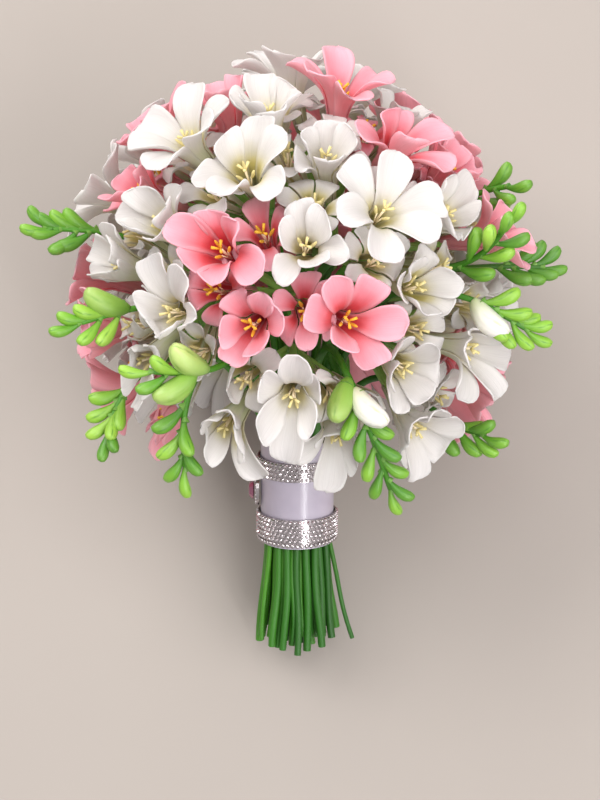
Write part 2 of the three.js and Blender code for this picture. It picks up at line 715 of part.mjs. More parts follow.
function wrapHandle() {
  const handle = new THREE.Group();
  const profile = [
    [WRAP.inner, WRAP.from], [WRAP.outer, WRAP.from], [WRAP.outer, WRAP.to],
    [WRAP.inner, WRAP.to], [WRAP.inner, WRAP.from],
  ].map(([radius, height]) => new THREE.Vector2(radius, height));
  const satin = mesh("satin_wrap", new THREE.LatheGeometry(profile, WRAP.sides), "satin");
  satin.rotation.x = Math.PI / 2;
  handle.add(satin);
  BANDS.forEach((band) => handle.add(mesh(band.name, bandGeometry(band), "rhinestone")));
  const seat = WRAP.outer + GAP;
  const setting = [[0, 0.9], [0.8, 1], [BROOCH.setting, 0.94]];
  const stone = [[0, 0.9], [1, 1], [BROOCH.stone, 0.55]];
  const plate = mesh("brooch_setting", ovalGeometry(setting, BROOCH.length, BROOCH.width, 20), "setting");
  plate.position.set(-seat, 0, BROOCH.height);
  const inset = [BROOCH.length - 2 * BROOCH.rim, BROOCH.width - 2 * BROOCH.rim];
  const gem = mesh("brooch_stone", ovalGeometry(stone, ...inset, 12), "stone");
  gem.position.set(-seat - BROOCH.setting - GAP, 0, BROOCH.height);
  handle.add(plate, gem);
  return handle;
}

// Tips the upright bouquet onto its back and puts the middle of its underside at the origin.
function layDown(bouquet) {
  const lying = new THREE.Group();
  bouquet.rotation.x = radians(TILT - 90);
  lying.add(bouquet);
  const box = new THREE.Box3().setFromObject(lying, true);
  const middle = box.getCenter(new THREE.Vector3());
  bouquet.position.set(-middle.x, -middle.y, -box.min.z);
  return lying;
}

export default layDown(growBouquet());
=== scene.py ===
"""A hand-tied bouquet of white and pink freesias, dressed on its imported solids.

The bouquet is planned upright in millimetres, as it would be tied: the handle stands on +Z, the
front faces -Y, and the florets make a ball. The plan is then tipped onto its back with the solids.
"""

from __future__ import annotations

import logging
import math
from collections.abc import Callable, Iterable, Iterator, Sequence
from dataclasses import dataclass, field
from enum import Enum
from functools import partial

import bpy
import numpy as np
from mathutils import Matrix, Vector

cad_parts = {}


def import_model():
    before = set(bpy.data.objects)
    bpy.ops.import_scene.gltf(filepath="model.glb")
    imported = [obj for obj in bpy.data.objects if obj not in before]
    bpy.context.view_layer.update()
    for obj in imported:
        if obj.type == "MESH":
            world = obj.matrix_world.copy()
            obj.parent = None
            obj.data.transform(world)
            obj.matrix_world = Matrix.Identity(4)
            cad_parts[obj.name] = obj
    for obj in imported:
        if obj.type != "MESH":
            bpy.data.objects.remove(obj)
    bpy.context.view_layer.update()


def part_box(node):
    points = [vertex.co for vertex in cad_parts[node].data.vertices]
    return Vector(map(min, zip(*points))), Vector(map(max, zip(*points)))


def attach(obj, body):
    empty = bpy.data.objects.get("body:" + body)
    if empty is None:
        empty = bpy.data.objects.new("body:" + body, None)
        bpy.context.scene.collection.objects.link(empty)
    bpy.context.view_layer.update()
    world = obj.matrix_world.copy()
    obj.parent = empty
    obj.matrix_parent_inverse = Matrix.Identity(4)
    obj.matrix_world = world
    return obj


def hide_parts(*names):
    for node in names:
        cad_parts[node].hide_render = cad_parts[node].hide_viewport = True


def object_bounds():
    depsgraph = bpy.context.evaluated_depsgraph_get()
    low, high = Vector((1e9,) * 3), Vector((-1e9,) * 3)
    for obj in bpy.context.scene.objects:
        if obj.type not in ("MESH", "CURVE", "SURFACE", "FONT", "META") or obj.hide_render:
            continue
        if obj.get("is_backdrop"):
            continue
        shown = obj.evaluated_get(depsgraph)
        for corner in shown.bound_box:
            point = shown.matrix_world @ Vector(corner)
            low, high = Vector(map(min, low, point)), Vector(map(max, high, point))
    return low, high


log = logging.getLogger("freesias")

MM = 0.001
GOLDEN = 0.61803398875
GOLDEN_ANGLE = 2.39996322973
FULL_TURN = 2 * math.pi
TOUCHING_GAP = 0.3
Array = np.ndarray
Vec3 = tuple[float, float, float]
Stops = tuple[tuple[float, str], ...]
Axes = tuple[Array, Array, Array]
Piece = bpy.types.Object
Handed = tuple[Piece, tuple[str, ...]]
Socket = bpy.types.NodeSocket
AddNode = Callable[..., Socket]


class Colour(Enum):
    """The two kinds of freesia in the bouquet."""

    WHITE = "white"
    PINK = "pink"


def vec(x: float, y: float, z: float) -> Array:
    """A point or direction in double precision."""
    return np.array((x, y, z), float)


def around(turn: float) -> Array:
    """The level direction at a turn about the upright axis, in radians."""
    return vec(math.cos(turn), math.sin(turn), 0)


def length_of(v: Array) -> float:
    """The length of a vector."""
    return math.sqrt(float(v @ v))


def unit(v: Array) -> Array:
    """The direction of a vector."""
    return v / length_of(v)


def angle_between(a: Array, b: Array) -> float:
    """The angle between two unit directions, in radians."""
    return math.acos(min(1.0, max(-1.0, float(a @ b))))


def varied(index: int, stream: int) -> float:
    """A number from 0 to 1 that differs from one index to the next.

    Args:
        index: Which piece it is for.
        stream: Which of the piece's features it is for.

    Returns:
        The share, the same in every run.
    """
    share = (index + 1) * GOLDEN * (1 + 0.37 * stream) + 0.29 * stream
    return share - math.floor(share)


def square_to(axis: Array, wanted: Array) -> tuple[Array, Array]:
    """Two directions square to an axis, the first as near as can be to a wanted one."""
    across = unit(wanted - axis * float(wanted @ axis))
    return across, np.cross(axis, across)


def golden_spiral(count: int) -> Array:
    """Directions spread evenly over a sphere, from its top down.

    Args:
        count: How many there are.

    Returns:
        The directions, one to a row.
    """
    k = np.arange(count)
    z = 1 - 2 * (k + 0.5) / count
    flat = np.sqrt(1 - z * z)
    return np.stack((flat * np.cos(k * GOLDEN_ANGLE), flat * np.sin(k * GOLDEN_ANGLE), z), axis=1)


def bezier(a: Array, b: Array, c: Array, d: Array, t: float) -> Array:
    """The point of a cubic curve at a share of its way."""
    s = 1 - t
    return a * s**3 + b * (3 * s * s * t) + c * (3 * s * t * t) + d * t**3


def bezier_slope(a: Array, b: Array, c: Array, d: Array, t: float) -> Array:
    """The direction of a cubic curve at a share of its way."""
    s = 1 - t
    return unit((b - a) * (s * s) + (c - b) * (2 * s * t) + (d - c) * (t * t))


def eased(knots: Sequence[float], values: Sequence[float], at: Array) -> Array:
    """A smooth line through values at rising knots, flat where it would overshoot.

    Args:
        knots: Where the values hold, in rising order.
        values: The values there.
        at: Where the line is wanted.

    Returns:
        The line's values.
    """
    x, y = np.array(knots, float), np.array(values, float)
    slope = np.gradient(y, x)
    k = np.clip(np.searchsorted(x, at) - 1, 0, len(x) - 2)
    h = x[k + 1] - x[k]
    t = np.clip((at - x[k]) / h, 0, 1)
    a, b = 2 * t**3 - 3 * t**2 + 1, t**3 - 2 * t**2 + t
    return a * y[k] + b * h * slope[k] + (1 - a) * y[k + 1] + (t**3 - t**2) * h * slope[k + 1]


def nearest_points(a0: Array, a1: Array, b0: Array, b1: Array) -> tuple[Array, Array]:
    """The nearest points of two straight pieces.

    Args:
        a0: Where the first one starts.
        a1: Where it ends.
        b0: Where the second one starts.
        b1: Where it ends.

    Returns:
        The nearest point of each.
    """
    u, v, w = a1 - a0, b1 - b0, a0 - b0
    a, b, c, d, e = float(u @ u), float(u @ v), float(v @ v), float(u @ w), float(v @ w)
    cross = a * c - b * b
    s = min(1.0, max(0.0, (b * e - c * d) / cross)) if cross > 1e-9 else 0.0
    t = min(1.0, max(0.0, (b * s + e) / c)) if c > 1e-9 else 0.0
    s = min(1.0, max(0.0, (b * t - d) / a)) if a > 1e-9 else 0.0
    return a0 + u * s, b0 + v * t


def too_far(a0: Array, a1: Array, b0: Array, b1: Array, room: float) -> bool:
    """Whether the boxes round two straight pieces are further apart than a distance.

    Args:
        a0: Where the first one starts.
        a1: Where it ends.
        b0: Where the second one starts.
        b1: Where it ends.
        room: The distance.

    Returns:
        True where the boxes alone keep them apart.
    """
    return any(
        min(a0[k], a1[k]) - max(b0[k], b1[k]) > room or min(b0[k], b1[k]) - max(a0[k], a1[k]) > room
        for k in range(3)
    )


@dataclass
class Floret:
    """One floret of the plan, in millimetres, and the room in degrees that it asks for."""

    direction: Array
    colour: Colour | None
    room: float
    ease: float
    index: int = 0
    sunk: bool = False
    height: float = 0.0
    base: Array = field(init=False)
    throat: Array = field(init=False)
    axis: Array = field(init=False)
    roll: float = 0.0
    open: float = 1.0


@dataclass
class Spray:
    """Florets that one stem carries."""

    members: list[int]
    colour: Colour | None
    direction: Array
    name: str = ""
    base: Array = field(init=False)
    line: list[Array] = field(default_factory=list)


@dataclass(frozen=True)
class Bud:
    """One bud: where it grows from, which way it points, and its size in millimetres."""

    foot: Array
    axis: Array
    length: float
    radius: float
    big: bool
    pale: bool
    tone: float


@dataclass(frozen=True)
class BudSprayPlan:
    """Where a spray of buds leaves the ball and ends, as the front shows it, in millimetres."""

    name: str
    exit: tuple[float, float]
    tip: Vec3
    buds: int
    big: int
    pale: tuple[int, ...] = ()
    # Below 1, the spray's buds are darkened towards deep green as painted shade.
    shade: float = 1.0
    start: float = 0.42


@dataclass
class BudSpray:
    """A spray of buds with its stem's centre line."""

    name: str
    line: list[Array]
    buds: list[Bud]


FRONT_FLORETS = (
    (Colour.PINK, ((-28, 16), (-20, -7))),
    (Colour.WHITE, ((-2, -26),)),
    (
        Colour.PINK,
        (
            (24, -3), (-63, 49), (-46, 76), (-25, 72), (25, 67), (43, 60), (61, 53), (79, 35),
            (-96, -20), (-62, -61), (88, -44), (59, 81),
        ),
    ),
    (
        Colour.WHITE,
        (
            (-76, 58), (-47, 42), (-63, 19), (-50, -5), (-70, -23), (-34, 49), (-13, 58), (7, 49),
            (0, 91), (18, 87), (43, 78), (-9, 35), (5, 26), (25, 40), (47, 31), (50, 2), (61, -30),
            (54, -14), (90, -3), (-19, -57), (5, -59), (72, -30), (95, 31), (-11, 89),
        ),
    ),
)
BUD_SPRAYS = (
    BudSprayPlan("left_high", (-80, 26), (-114, 24, 34), 8, 0, shade=0.5),
    BudSprayPlan("left_middle", (-72, 0), (-95, -20, 66), 6, 1),
    BudSprayPlan("left_low", (-77, -34), (-86, -68, 30), 7, 0),
    BudSprayPlan("lower_left", (-48, -46), (-50, -84, 52), 6, 0),
    BudSprayPlan("front_left", (-30, -42), (-62, -42, 82), 5, 2),
    BudSprayPlan("front_middle", (26, -42), (42, -94, 50), 11, 2, (1,), 0.8, start=0.18),
    BudSprayPlan("right_middle", (66, 6), (102, -22, 52), 9, 1, (0,)),
    BudSprayPlan("right_high", (72, 12), (92, 22, 72), 7, 0, start=0.2),
    BudSprayPlan("far_right", (96, 0), (114, 8, 8), 7, 0, shade=0.25),
    BudSprayPlan("right_low", (78, -52), (84, -70, 34), 6, 0, shade=0.55),
    BudSprayPlan("upper_right", (84, 56), (96, 44, 24), 4, 0, shade=0.35),
)


@dataclass
class Run:
    """A bent run of straight pieces with a girth, some of whose points are free to move."""

    line: list[Array]
    start: int
    girth: float
    free: range

    def part_from(self, other: Run) -> None:
        """Moves the free points of two runs that touch away from each other.

        Args:
            other: The run that it may touch.
        """
        p, q = self.line, other.line
        room = self.girth + other.girth + TOUCHING_GAP
        for a in range(self.start, len(p) - 1):
            for b in range(other.start, len(q) - 1):
                if too_far(p[a], p[a + 1], q[b], q[b + 1], room):
                    continue
                here, there = nearest_points(p[a], p[a + 1], q[b], q[b + 1])
                length = length_of(here - there)
                if length >= room:
                    continue
                apart = (here - there) * ((room - length) / 2 / length)
                for run, first, push in ((self, a, apart), (other, b, -apart)):
                    for k in (first, first + 1):
                        if k in run.free:
                            run.line[k] = run.line[k] + push


@dataclass
class BouquetPlan:
    """Places every floret, bud and stem of the bouquet, upright, in millimetres and degrees."""

    ball_height: float = 180
    throat_radius: float = 90
    throat_stagger: float = 5
    spray_base_radius: float = 46
    lowest_polar_angle: float = 126
    floret_room: float = 11.6
    exit_room: float = 4.6
    crowding: float = 0.8
    far_cosine: float = 0.85
    back_candidates: int = 98
    spread_passes: int = 90
    neighbour_angle: float = 33
    widest_spray: float = 56
    most_florets: int = 6
    gap_candidates: int = 700
    sunk_depth: float = 7.5
    sunk_gap: float = 10.6
    sunk_room: float = 14.5
    exit_gap: float = 6
    nod: float = 0.16
    opening: tuple[float, float] = (0.92, 0.2)
    stem_radius: float = 2.2
    stem_spacing: float = 4.7
    bunch_radius: float = 16.4
    stem_end_radius: float = 21
    stem_flare: float = 0.012
    unevenness: float = 8
    wrap: tuple[float, float] = (54, 106)
    bend_passes: int = 40
    bud_leave: float = 74
    bud_turn: float = 97
    bud_length: float = 15.5
    bud_radius: float = 4
    slim_bud: tuple[float, float] = (1.18, 0.78)
    bud_swing: float = 0.62
    looseness: float = 0.55
    big_bud: float = 1.45
    cup: tuple[float, float] = (3.5, 4.6)
    wall_angle: float = 50
    wall_rise: float = 4
    wall_gap: float = 0.5
    rod_reach: float = 38
    tilt: float = 27
    camera_rise: float = 15

    def __post_init__(self) -> None:
        """Works the plan out."""
        rise, tilt = math.radians(self.camera_rise), math.radians(self.tilt)
        self.ball = vec(0, 0, self.ball_height)
        self.up_in_view = vec(0, math.sin(rise), math.cos(rise))
        self.to_viewer = vec(0, -math.cos(rise), math.sin(rise))
        self.floor_normal = vec(0, -math.cos(tilt), math.sin(tilt))
        self.floor_offset = -self.stem_end_radius * math.cos(tilt)
        self.florets, self.exits = self.lay_out()
        self.sprays = self.gather_sprays()
        self.places = self.bunch_places([s.direction for s in self.sprays] + self.exits)
        self.fill_gaps()
        self.place_florets()
        self.bud_sprays = [self.shape_bud_spray(k) for k in range(len(BUD_SPRAYS))]
        self.bend_clear()
        self.rods = [rod for spray in self.bud_sprays for rod in self.rods_of(spray)]

    def seen_at(self, across: float, up: float, toward: float) -> Array:
        """A place given across, up and towards the viewer, from the ball's middle."""
        return vec(across, 0, 0) + self.up_in_view * up + self.to_viewer * toward

    def front_direction(self, across: float, up: float) -> Array:
        """The direction from the ball's middle to a place on its front.

        Args:
            across: How far right of the middle the place is seen, in millimetres.
            up: How far above the middle it is seen.

        Returns:
            The direction.
        """
        out = math.hypot(across, up)
        flat = min(out / self.throat_radius, 0.985)
        scale = flat * self.throat_radius / out
        toward = self.throat_radius * math.sqrt(1 - flat * flat)
        return unit(self.seen_at(across * scale, up * scale, toward))

    def lay_out(self) -> tuple[list[Floret], list[Array]]:
        """Spreads the florets over the ball round the places where bud sprays leave it.

        Returns:
            The florets and the directions of the bud sprays' exits.
        """
        exits = [Floret(self.front_direction(*s.exit), None, self.exit_room, 0.3) for s in BUD_SPRAYS]
        florets = [
            Floret(self.front_direction(*place), colour, self.floret_room, 0.5)
            for colour, places in FRONT_FLORETS
            for place in places
        ]
        lowest = math.cos(math.radians(self.lowest_polar_angle))
        for direction in golden_spiral(self.back_candidates):
            free = all(
                angle_between(direction, s.direction) > math.radians(s.room + self.floret_room) * self.crowding
                for s in florets + exits
            )
            if float(direction @ self.to_viewer) < 0.05 and direction[2] > lowest and free:
                florets.append(Floret(direction, None, self.floret_room, 1))
        self.spread(florets + exits, lowest)
        for i, floret in enumerate(florets):
            floret.index = i
        return florets, [e.direction for e in exits]

    def spread(self, sites: list[Floret], lowest: float) -> None:
        """Pushes sites on the unit sphere apart until each pair has the room that both ask for.

        Args:
            sites: The florets and the exits.
            lowest: The least height that a direction may have.
        """
        for _ in range(self.spread_passes):
            for i, a in enumerate(sites):
                for b in sites[i + 1 :]:
                    dot = float(a.direction @ b.direction)
                    if dot < self.far_cosine:
                        continue
                    short = math.radians(a.room + b.room) - math.acos(min(1.0, dot))
                    if short <= 0:
                        continue
                    apart = unit(a.direction - b.direction) * (short / 2)
                    share = a.ease / (a.ease + b.ease)
                    a.direction = unit(a.direction + apart * share)
                    b.direction = unit(b.direction - apart * (1 - share))
                if a.direction[2] < lowest:
                    a.direction = unit(vec(a.direction[0], a.direction[1], lowest))

    def gather_sprays(self) -> list[Spray]:
        """Joins neighbouring florets of one colour into the sprays that one stem carries.

        Returns:
            The sprays.
        """
        directions = np.array([f.direction for f in self.florets])
        angles = np.arccos(np.clip(directions @ directions.T, -1, 1))
        groups = [Spray([f.index], f.colour, f.direction) for f in self.florets]
        while best := min(self.joinable(groups, angles), default=None):
            a, b = groups[best[1]], groups[best[2]]
            members = a.members + b.members
            middle = unit(sum((self.florets[m].direction for m in members), vec(0, 0, 0)))
            groups = [g for g in groups if g is not a and g is not b]
            groups.append(Spray(members, a.colour or b.colour, middle))
        for k, group in enumerate([g for g in groups if not g.colour]):
            group.colour = Colour.PINK if k % 3 == 1 else Colour.WHITE
        return groups

    def joinable(self, groups: list[Spray], angles: Array) -> Iterator[tuple[float, int, int]]:
        """The pairs of groups that one stem could carry, each after how far apart its florets lie.

        Args:
            groups: The sprays so far.
            angles: The angle between each two florets, in radians.

        Returns:
            For each pair, how far apart it lies and the places of its two groups.
        """
        near, wide = math.radians(self.neighbour_angle), math.radians(self.widest_spray)
        for i, a in enumerate(groups):
            for j in range(i + 1, len(groups)):
                b = groups[j]
                size = len(a.members) + len(b.members)
                if size > self.most_florets or (a.colour and b.colour and a.colour != b.colour):
                    continue
                between = angles[np.ix_(a.members, b.members)]
                if between.min() <= near and between.max() <= wide:
                    yield float(between.max()) + 0.05 * size, i, j

    def fill_gaps(self) -> None:
        """Adds the sunk florets that show between the high ones, each to its neighbour's spray."""
        ways = golden_spiral(self.gap_candidates)
        ways = ways[ways[:, 2] > math.cos(math.radians(self.lowest_polar_angle - 4))]
        clear, out = (
            np.degrees(np.arccos(np.clip(ways @ np.array(others).T, -1, 1)))
            for others in ([f.direction for f in self.florets], self.exits)
        )
        sunk: list[Array] = []
        for k in np.argsort(-clear.min(axis=1)):
            apart = [math.degrees(angle_between(ways[k], other)) for other in sunk]
            hemmed = clear[k].min() < self.sunk_gap or out[k].min() < self.exit_gap
            if hemmed or min(apart, default=180.0) < self.sunk_room:
                continue
            sunk.append(ways[k])
            host = next(s for s in self.sprays if int(np.argmin(clear[k])) in s.members)
            index = len(self.florets)
            self.florets.append(Floret(ways[k], host.colour, 0, 1, index, sunk=True))
            host.members.append(index)

    def bunch_places(self, directions: list[Array]) -> list[Array]:
        """Where each stem stands in the tied bunch: under its own direction, clear of the others.

        Args:
            directions: The direction that each stem leads to.

        Returns:
            The places, level, in millimetres from the middle.
        """
        reach = self.bunch_radius - self.stem_radius
        widest = math.sin(math.radians(self.lowest_polar_angle) / 2)
        places = [
            around(math.atan2(d[1], d[0])) * (reach * math.sin(math.acos(d[2]) / 2) / widest)
            for d in directions
        ]
        for _ in range(self.spread_passes * 3):
            for i in range(len(places)):
                for j in range(i + 1, len(places)):
                    apart = places[i] - places[j]
                    length = length_of(apart)
                    if length < self.stem_spacing:
                        apart *= (self.stem_spacing - length) / 2 / length
                        places[i] = places[i] + apart
                        places[j] = places[j] - apart
                places[i] = places[i] * min(1.0, reach / length_of(places[i]))
        return places

    def stem_line(self, index: int, end: Array, direction: Array) -> list[Array]:
        """A stem's centre line: splayed at the cut end, straight in the wrap, then out to its end.

        Args:
            index: The stem's number in the bunch.
            end: Where it ends.
            direction: Which way it points there.

        Returns:
            The points of the line, from the cut end up.
        """
        place = self.places[index]
        cut = place * (self.stem_end_radius / self.bunch_radius)
        cut[2] = 0 if place[1] > self.bunch_radius * 0.6 else self.unevenness * varied(index, 1)
        low, high = (vec(place[0], place[1], z) for z in (self.wrap[0] - 2, self.wrap[1] + 2))
        run = length_of(high - end)
        pull_up = high + place * (self.stem_flare * run) + vec(0, 0, run * 0.42)
        pull_out = end - direction * (run * 0.4)
        return [cut, low, high, *(bezier(high, pull_up, pull_out, end, t / 5) for t in range(1, 6))]

    def place_florets(self) -> None:
        """Gives each spray its base, stem and name, and each floret its throat and facing."""
        counts = dict.fromkeys(Colour, 0)
        for s, spray in enumerate(self.sprays):
            counts[spray.colour] += 1
            spray.name = f"{spray.colour.value}_florets_{counts[spray.colour]:02d}"
            spray.base = self.ball + spray.direction * self.spray_base_radius
            seat = spray.base - spray.direction * (self.cup[0] + TOUCHING_GAP)
            spray.line = self.stem_line(s, seat, spray.direction)
            for i in spray.members:
                self.place_floret(self.florets[i], spray)

    def place_floret(self, floret: Floret, spray: Spray) -> None:
        """Gives a floret its height, its throat, its foot in the calyx, and its facing.

        Args:
            floret: The floret.
            spray: The spray that it belongs to.
        """
        i = floret.index
        floret.height = self.throat_stagger * (2 * varied(i, 0) - 1)
        if floret.sunk:
            floret.height = floret.height / 2 - self.sunk_depth
        floret.throat = self.ball + floret.direction * (self.throat_radius + floret.height)
        aside = floret.throat - spray.base
        aside = aside - spray.direction * float(aside @ spray.direction)
        out = length_of(aside)
        floret.base = spray.base + aside * (min(out, self.cup[1] - 1.8) / max(out, 1e-9))
        floret.axis = unit(floret.direction + vec(0, 0, self.nod))
        floret.roll = FULL_TURN * varied(i, 2)
        floret.open = self.opening[0] + self.opening[1] * varied(i, 3)

    def shape_bud_spray(self, k: int) -> BudSpray:
        """The centre line and the buds of one spray of buds.

        Args:
            k: Which of the sprays of buds it is.

        Returns:
            The spray.
        """
        plan, way = BUD_SPRAYS[k], self.exits[k]
        leaves = self.ball + way * self.bud_leave
        tip = self.ball + self.seen_at(*plan.tip)
        outward = unit(tip - (self.ball + way * self.bud_turn))
        run = length_of(tip - leaves)
        outer = (leaves, leaves + way * (run * 0.5), tip - outward * (run * 0.35), tip)
        line = self.stem_line(len(self.sprays) + k, leaves, way)
        line += [bezier(*outer, t / 4) for t in range(1, 5)]
        return BudSpray(plan.name, line, [self.shape_bud(k, b, outer) for b in range(plan.buds)])

    def shape_bud(self, k: int, b: int, outer: tuple[Array, Array, Array, Array]) -> Bud:
        """One bud: the last one ends its spray, and the others stand out to either side in turn.

        Args:
            k: Which spray it belongs to.
            b: Its number from the ball outwards.
            outer: The cubic curve of the spray's stem outside the ball.

        Returns:
            The bud.
        """
        plan = BUD_SPRAYS[k]
        t = plan.start + (0.99 - plan.start) * b / (plan.buds - 1)
        foot, along = bezier(*outer, t), bezier_slope(*outer, t)
        away = unit(foot - self.ball)
        side = unit(np.cross(along, away + self.to_viewer))
        ends, big = b == plan.buds - 1, b < plan.big
        turn = 0 if ends else self.bud_swing if b % 2 == 0 else -self.bud_swing
        axis = unit(along * 0.85 + side * turn + away * (0 if ends else 0.2))
        loose = side * (varied(b * 7 + k, 11) - 0.5) + away * (varied(b * 5 + k, 12) - 0.35)
        axis = unit(axis + loose * (0 if ends else self.looseness))
        size = self.big_bud if big else 1.08 - 0.25 * b / plan.buds
        longer, slimmer = (1, 0.95) if big else self.slim_bud
        length, radius = self.bud_length * size * longer, self.bud_radius * size * slimmer
        # Each bud's tone varies at random, and its spray's shade lowers it as painted shade.
        return Bud(foot, axis, length, radius, big, b in plan.pale, varied(b, k) * plan.shade)

    def bend_clear(self) -> None:
        """Bends the stems' free points until they touch no other stem and no other spray's cup."""
        runs = [Run(s.line, 2, self.stem_radius, range(4, len(s.line) - 1)) for s in self.sprays]
        runs += [Run(s.line, 2, self.stem_radius, range(4, 9)) for s in self.bud_sprays]
        stems = len(runs)
        for spray in self.sprays:
            ends = [spray.line[-1], spray.base + spray.direction * self.cup[0]]
            runs.append(Run(ends, 0, self.cup[1], range(0)))
        for _ in range(self.bend_passes):
            for i in range(stems):
                for j in range(i + 1, len(runs)):
                    if j != stems + i:
                        runs[i].part_from(runs[j])

    def rods_of(self, spray: BudSpray) -> list[tuple[Array, Array, float]]:
        """The round-ended rods that a spray of buds takes up: two ends and a radius each.

        Args:
            spray: The spray of buds.

        Returns:
            The rods.
        """
        rods = [
            (b.foot + b.axis * (b.length * 0.25), b.foot + b.axis * (b.length * 0.82), b.radius)
            for b in spray.buds
        ]
        line = spray.line[3:]
        return rods + [(p, q, self.stem_radius) for p, q in zip(line, line[1:])]

    def walls_of(self, floret: Floret) -> tuple[Array, Array]:
        """The walls that a floret's lobes keep behind: half way to each neighbour, and buds.

        A floret that stands higher than its neighbour leans over it, so lobes lie in layers.

        Args:
            floret: The floret that is hemmed in.

        Returns:
            The walls' normals and their offsets.
        """
        normals, offsets = [self.floor_normal], [self.floor_offset - 0.4]
        for other in self.florets:
            if other is floret or angle_between(floret.direction, other.direction) > math.radians(self.wall_angle):
                continue
            middle = unit(floret.direction + other.direction)
            above = floret.height - other.height
            lean = math.copysign(min(1.1, 0.5 + 0.08 * abs(above)), above)
            foot = self.ball + middle * (self.throat_radius + (floret.height + other.height) / 2 + self.wall_rise)
            normals.insert(-1, unit(unit(floret.direction - other.direction) + middle * lean))
            offsets.insert(-1, float(foot @ normals[-2]) + self.wall_gap)
        for start, end, radius in self.rods:
            here, there = nearest_points(floret.base, floret.throat + floret.axis * 3, start, end)
            length = length_of(here - there)
            if length < self.rod_reach:
                normals.insert(-1, (here - there) / length)
                offsets.insert(-1, float(there @ normals[-2]) + radius + self.wall_gap)
        return np.array(normals), np.array(offsets)


@dataclass(frozen=True)
class Lying:
    """Turns the upright plan, in millimetres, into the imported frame, in metres."""

    turn: Array
    shift: Array
    low: Array
    high: Array

    @classmethod
    def on_frame(cls, plan: BouquetPlan) -> Lying:
        """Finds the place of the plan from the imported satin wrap.

        Args:
            plan: The bouquet's plan.

        Returns:
            The turn and the shift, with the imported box.
        """
        angle = math.radians(plan.tilt - 90)
        c, s = math.cos(angle), math.sin(angle)
        turn = np.array(((1, 0, 0), (0, c, -s), (0, s, c)))
        low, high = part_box("satin_wrap")
        middle = (np.array(low) + np.array(high)) / 2
        corners_of_all = [np.array(corner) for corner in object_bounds()]
        return cls(turn, middle - turn @ vec(0, 0, sum(plan.wrap) / 2) * MM, *corners_of_all)

    def world(self, points: Array) -> Array:
        """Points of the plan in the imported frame."""
        return points @ self.turn.T * MM + self.shift

    def box_walls(self, margin: float) -> tuple[Array, Array]:
        """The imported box's six sides as walls of the plan: normals and offsets.

        The walls stand a margin inside the box, and half of it at the floor, which petals touch.

        Args:
            margin: How far inside the box they stand, in millimetres.

        Returns:
            The walls' normals and their offsets.
        """
        low = (self.low - self.shift) / MM + np.array((margin, margin, margin / 2))
        high = (self.high - self.shift) / MM - margin
        return np.concatenate((self.turn, -self.turn)), np.concatenate((low, -high))

    def slid_inside(self, points: Array) -> Array:
        """Points in metres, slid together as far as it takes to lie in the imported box."""
        under = np.clip(self.low - points.min(axis=0), 0, None)
        return points + under - np.clip(points.max(axis=0) - self.high, 0, None)


def linear(code: str) -> tuple[float, float, float, float]:
    """The linear colour of an sRGB code such as '#c0ffee'.

    Args:
        code: The code.

    Returns:
        The red, green and blue, and full cover.
    """
    parts = [int(code[k : k + 2], 16) / 255 for k in (1, 3, 5)]
    r, g, b = (x / 12.92 if x <= 0.04045 else ((x + 0.055) / 1.055) ** 2.4 for x in parts)
    return r, g, b, 1.0


def add_node(
    tree: bpy.types.NodeTree, kind: str, inputs: dict[int | str, object] | None = None,
    output: int | str = 0, stops: Stops = (), **settings: object,
) -> Socket | None:
    """Adds a node to a material's tree, with its settings and links.

    Args:
        tree: The material's node tree.
        kind: The node's type, without its 'ShaderNode' start.
        inputs: Values or output sockets for the node's inputs, by name or number.
        output: Which of the node's outputs is wanted, by name or number.
        stops: The positions and sRGB codes of its colour ramp, where it has one.
        settings: Properties of the node.

    Returns:
        The wanted output, or None where the node has none.
    """
    node = tree.nodes.new(f"ShaderNode{kind}")
    for name, value in settings.items():
        setattr(node, name, value)
    for k, (place, code) in enumerate(stops):
        node.color_ramp.interpolation = "B_SPLINE"
        stop = node.color_ramp.elements[k] if k < 2 else node.color_ramp.elements.new(place)
        stop.position, stop.color = place, linear(code)
    for name, value in (inputs or {}).items():
        if isinstance(value, Socket):
            tree.links.new(value, node.inputs[name])
        else:
            node.inputs[name].default_value = value
    return node.outputs[output] if node.outputs else None


@dataclass(frozen=True)
class Finish:
    """A finish, under the plain name of the real one."""

    name: str

    def material(self) -> bpy.types.Material:
        """The finish's material, built when the first piece asks for it.

        Returns:
            The material.
        """
        material = bpy.data.materials.get(self.name)
        if material is None:
            material = bpy.data.materials.new(self.name)
            material.use_nodes = True
            material.node_tree.nodes.clear()
            add = partial(add_node, material.node_tree)
            add("OutputMaterial", {"Surface": self.shader(add)})
        return material

    def shader(self, add: AddNode) -> Socket:
        """Builds the shader with a function that adds a node to the material's tree."""
        raise NotImplementedError


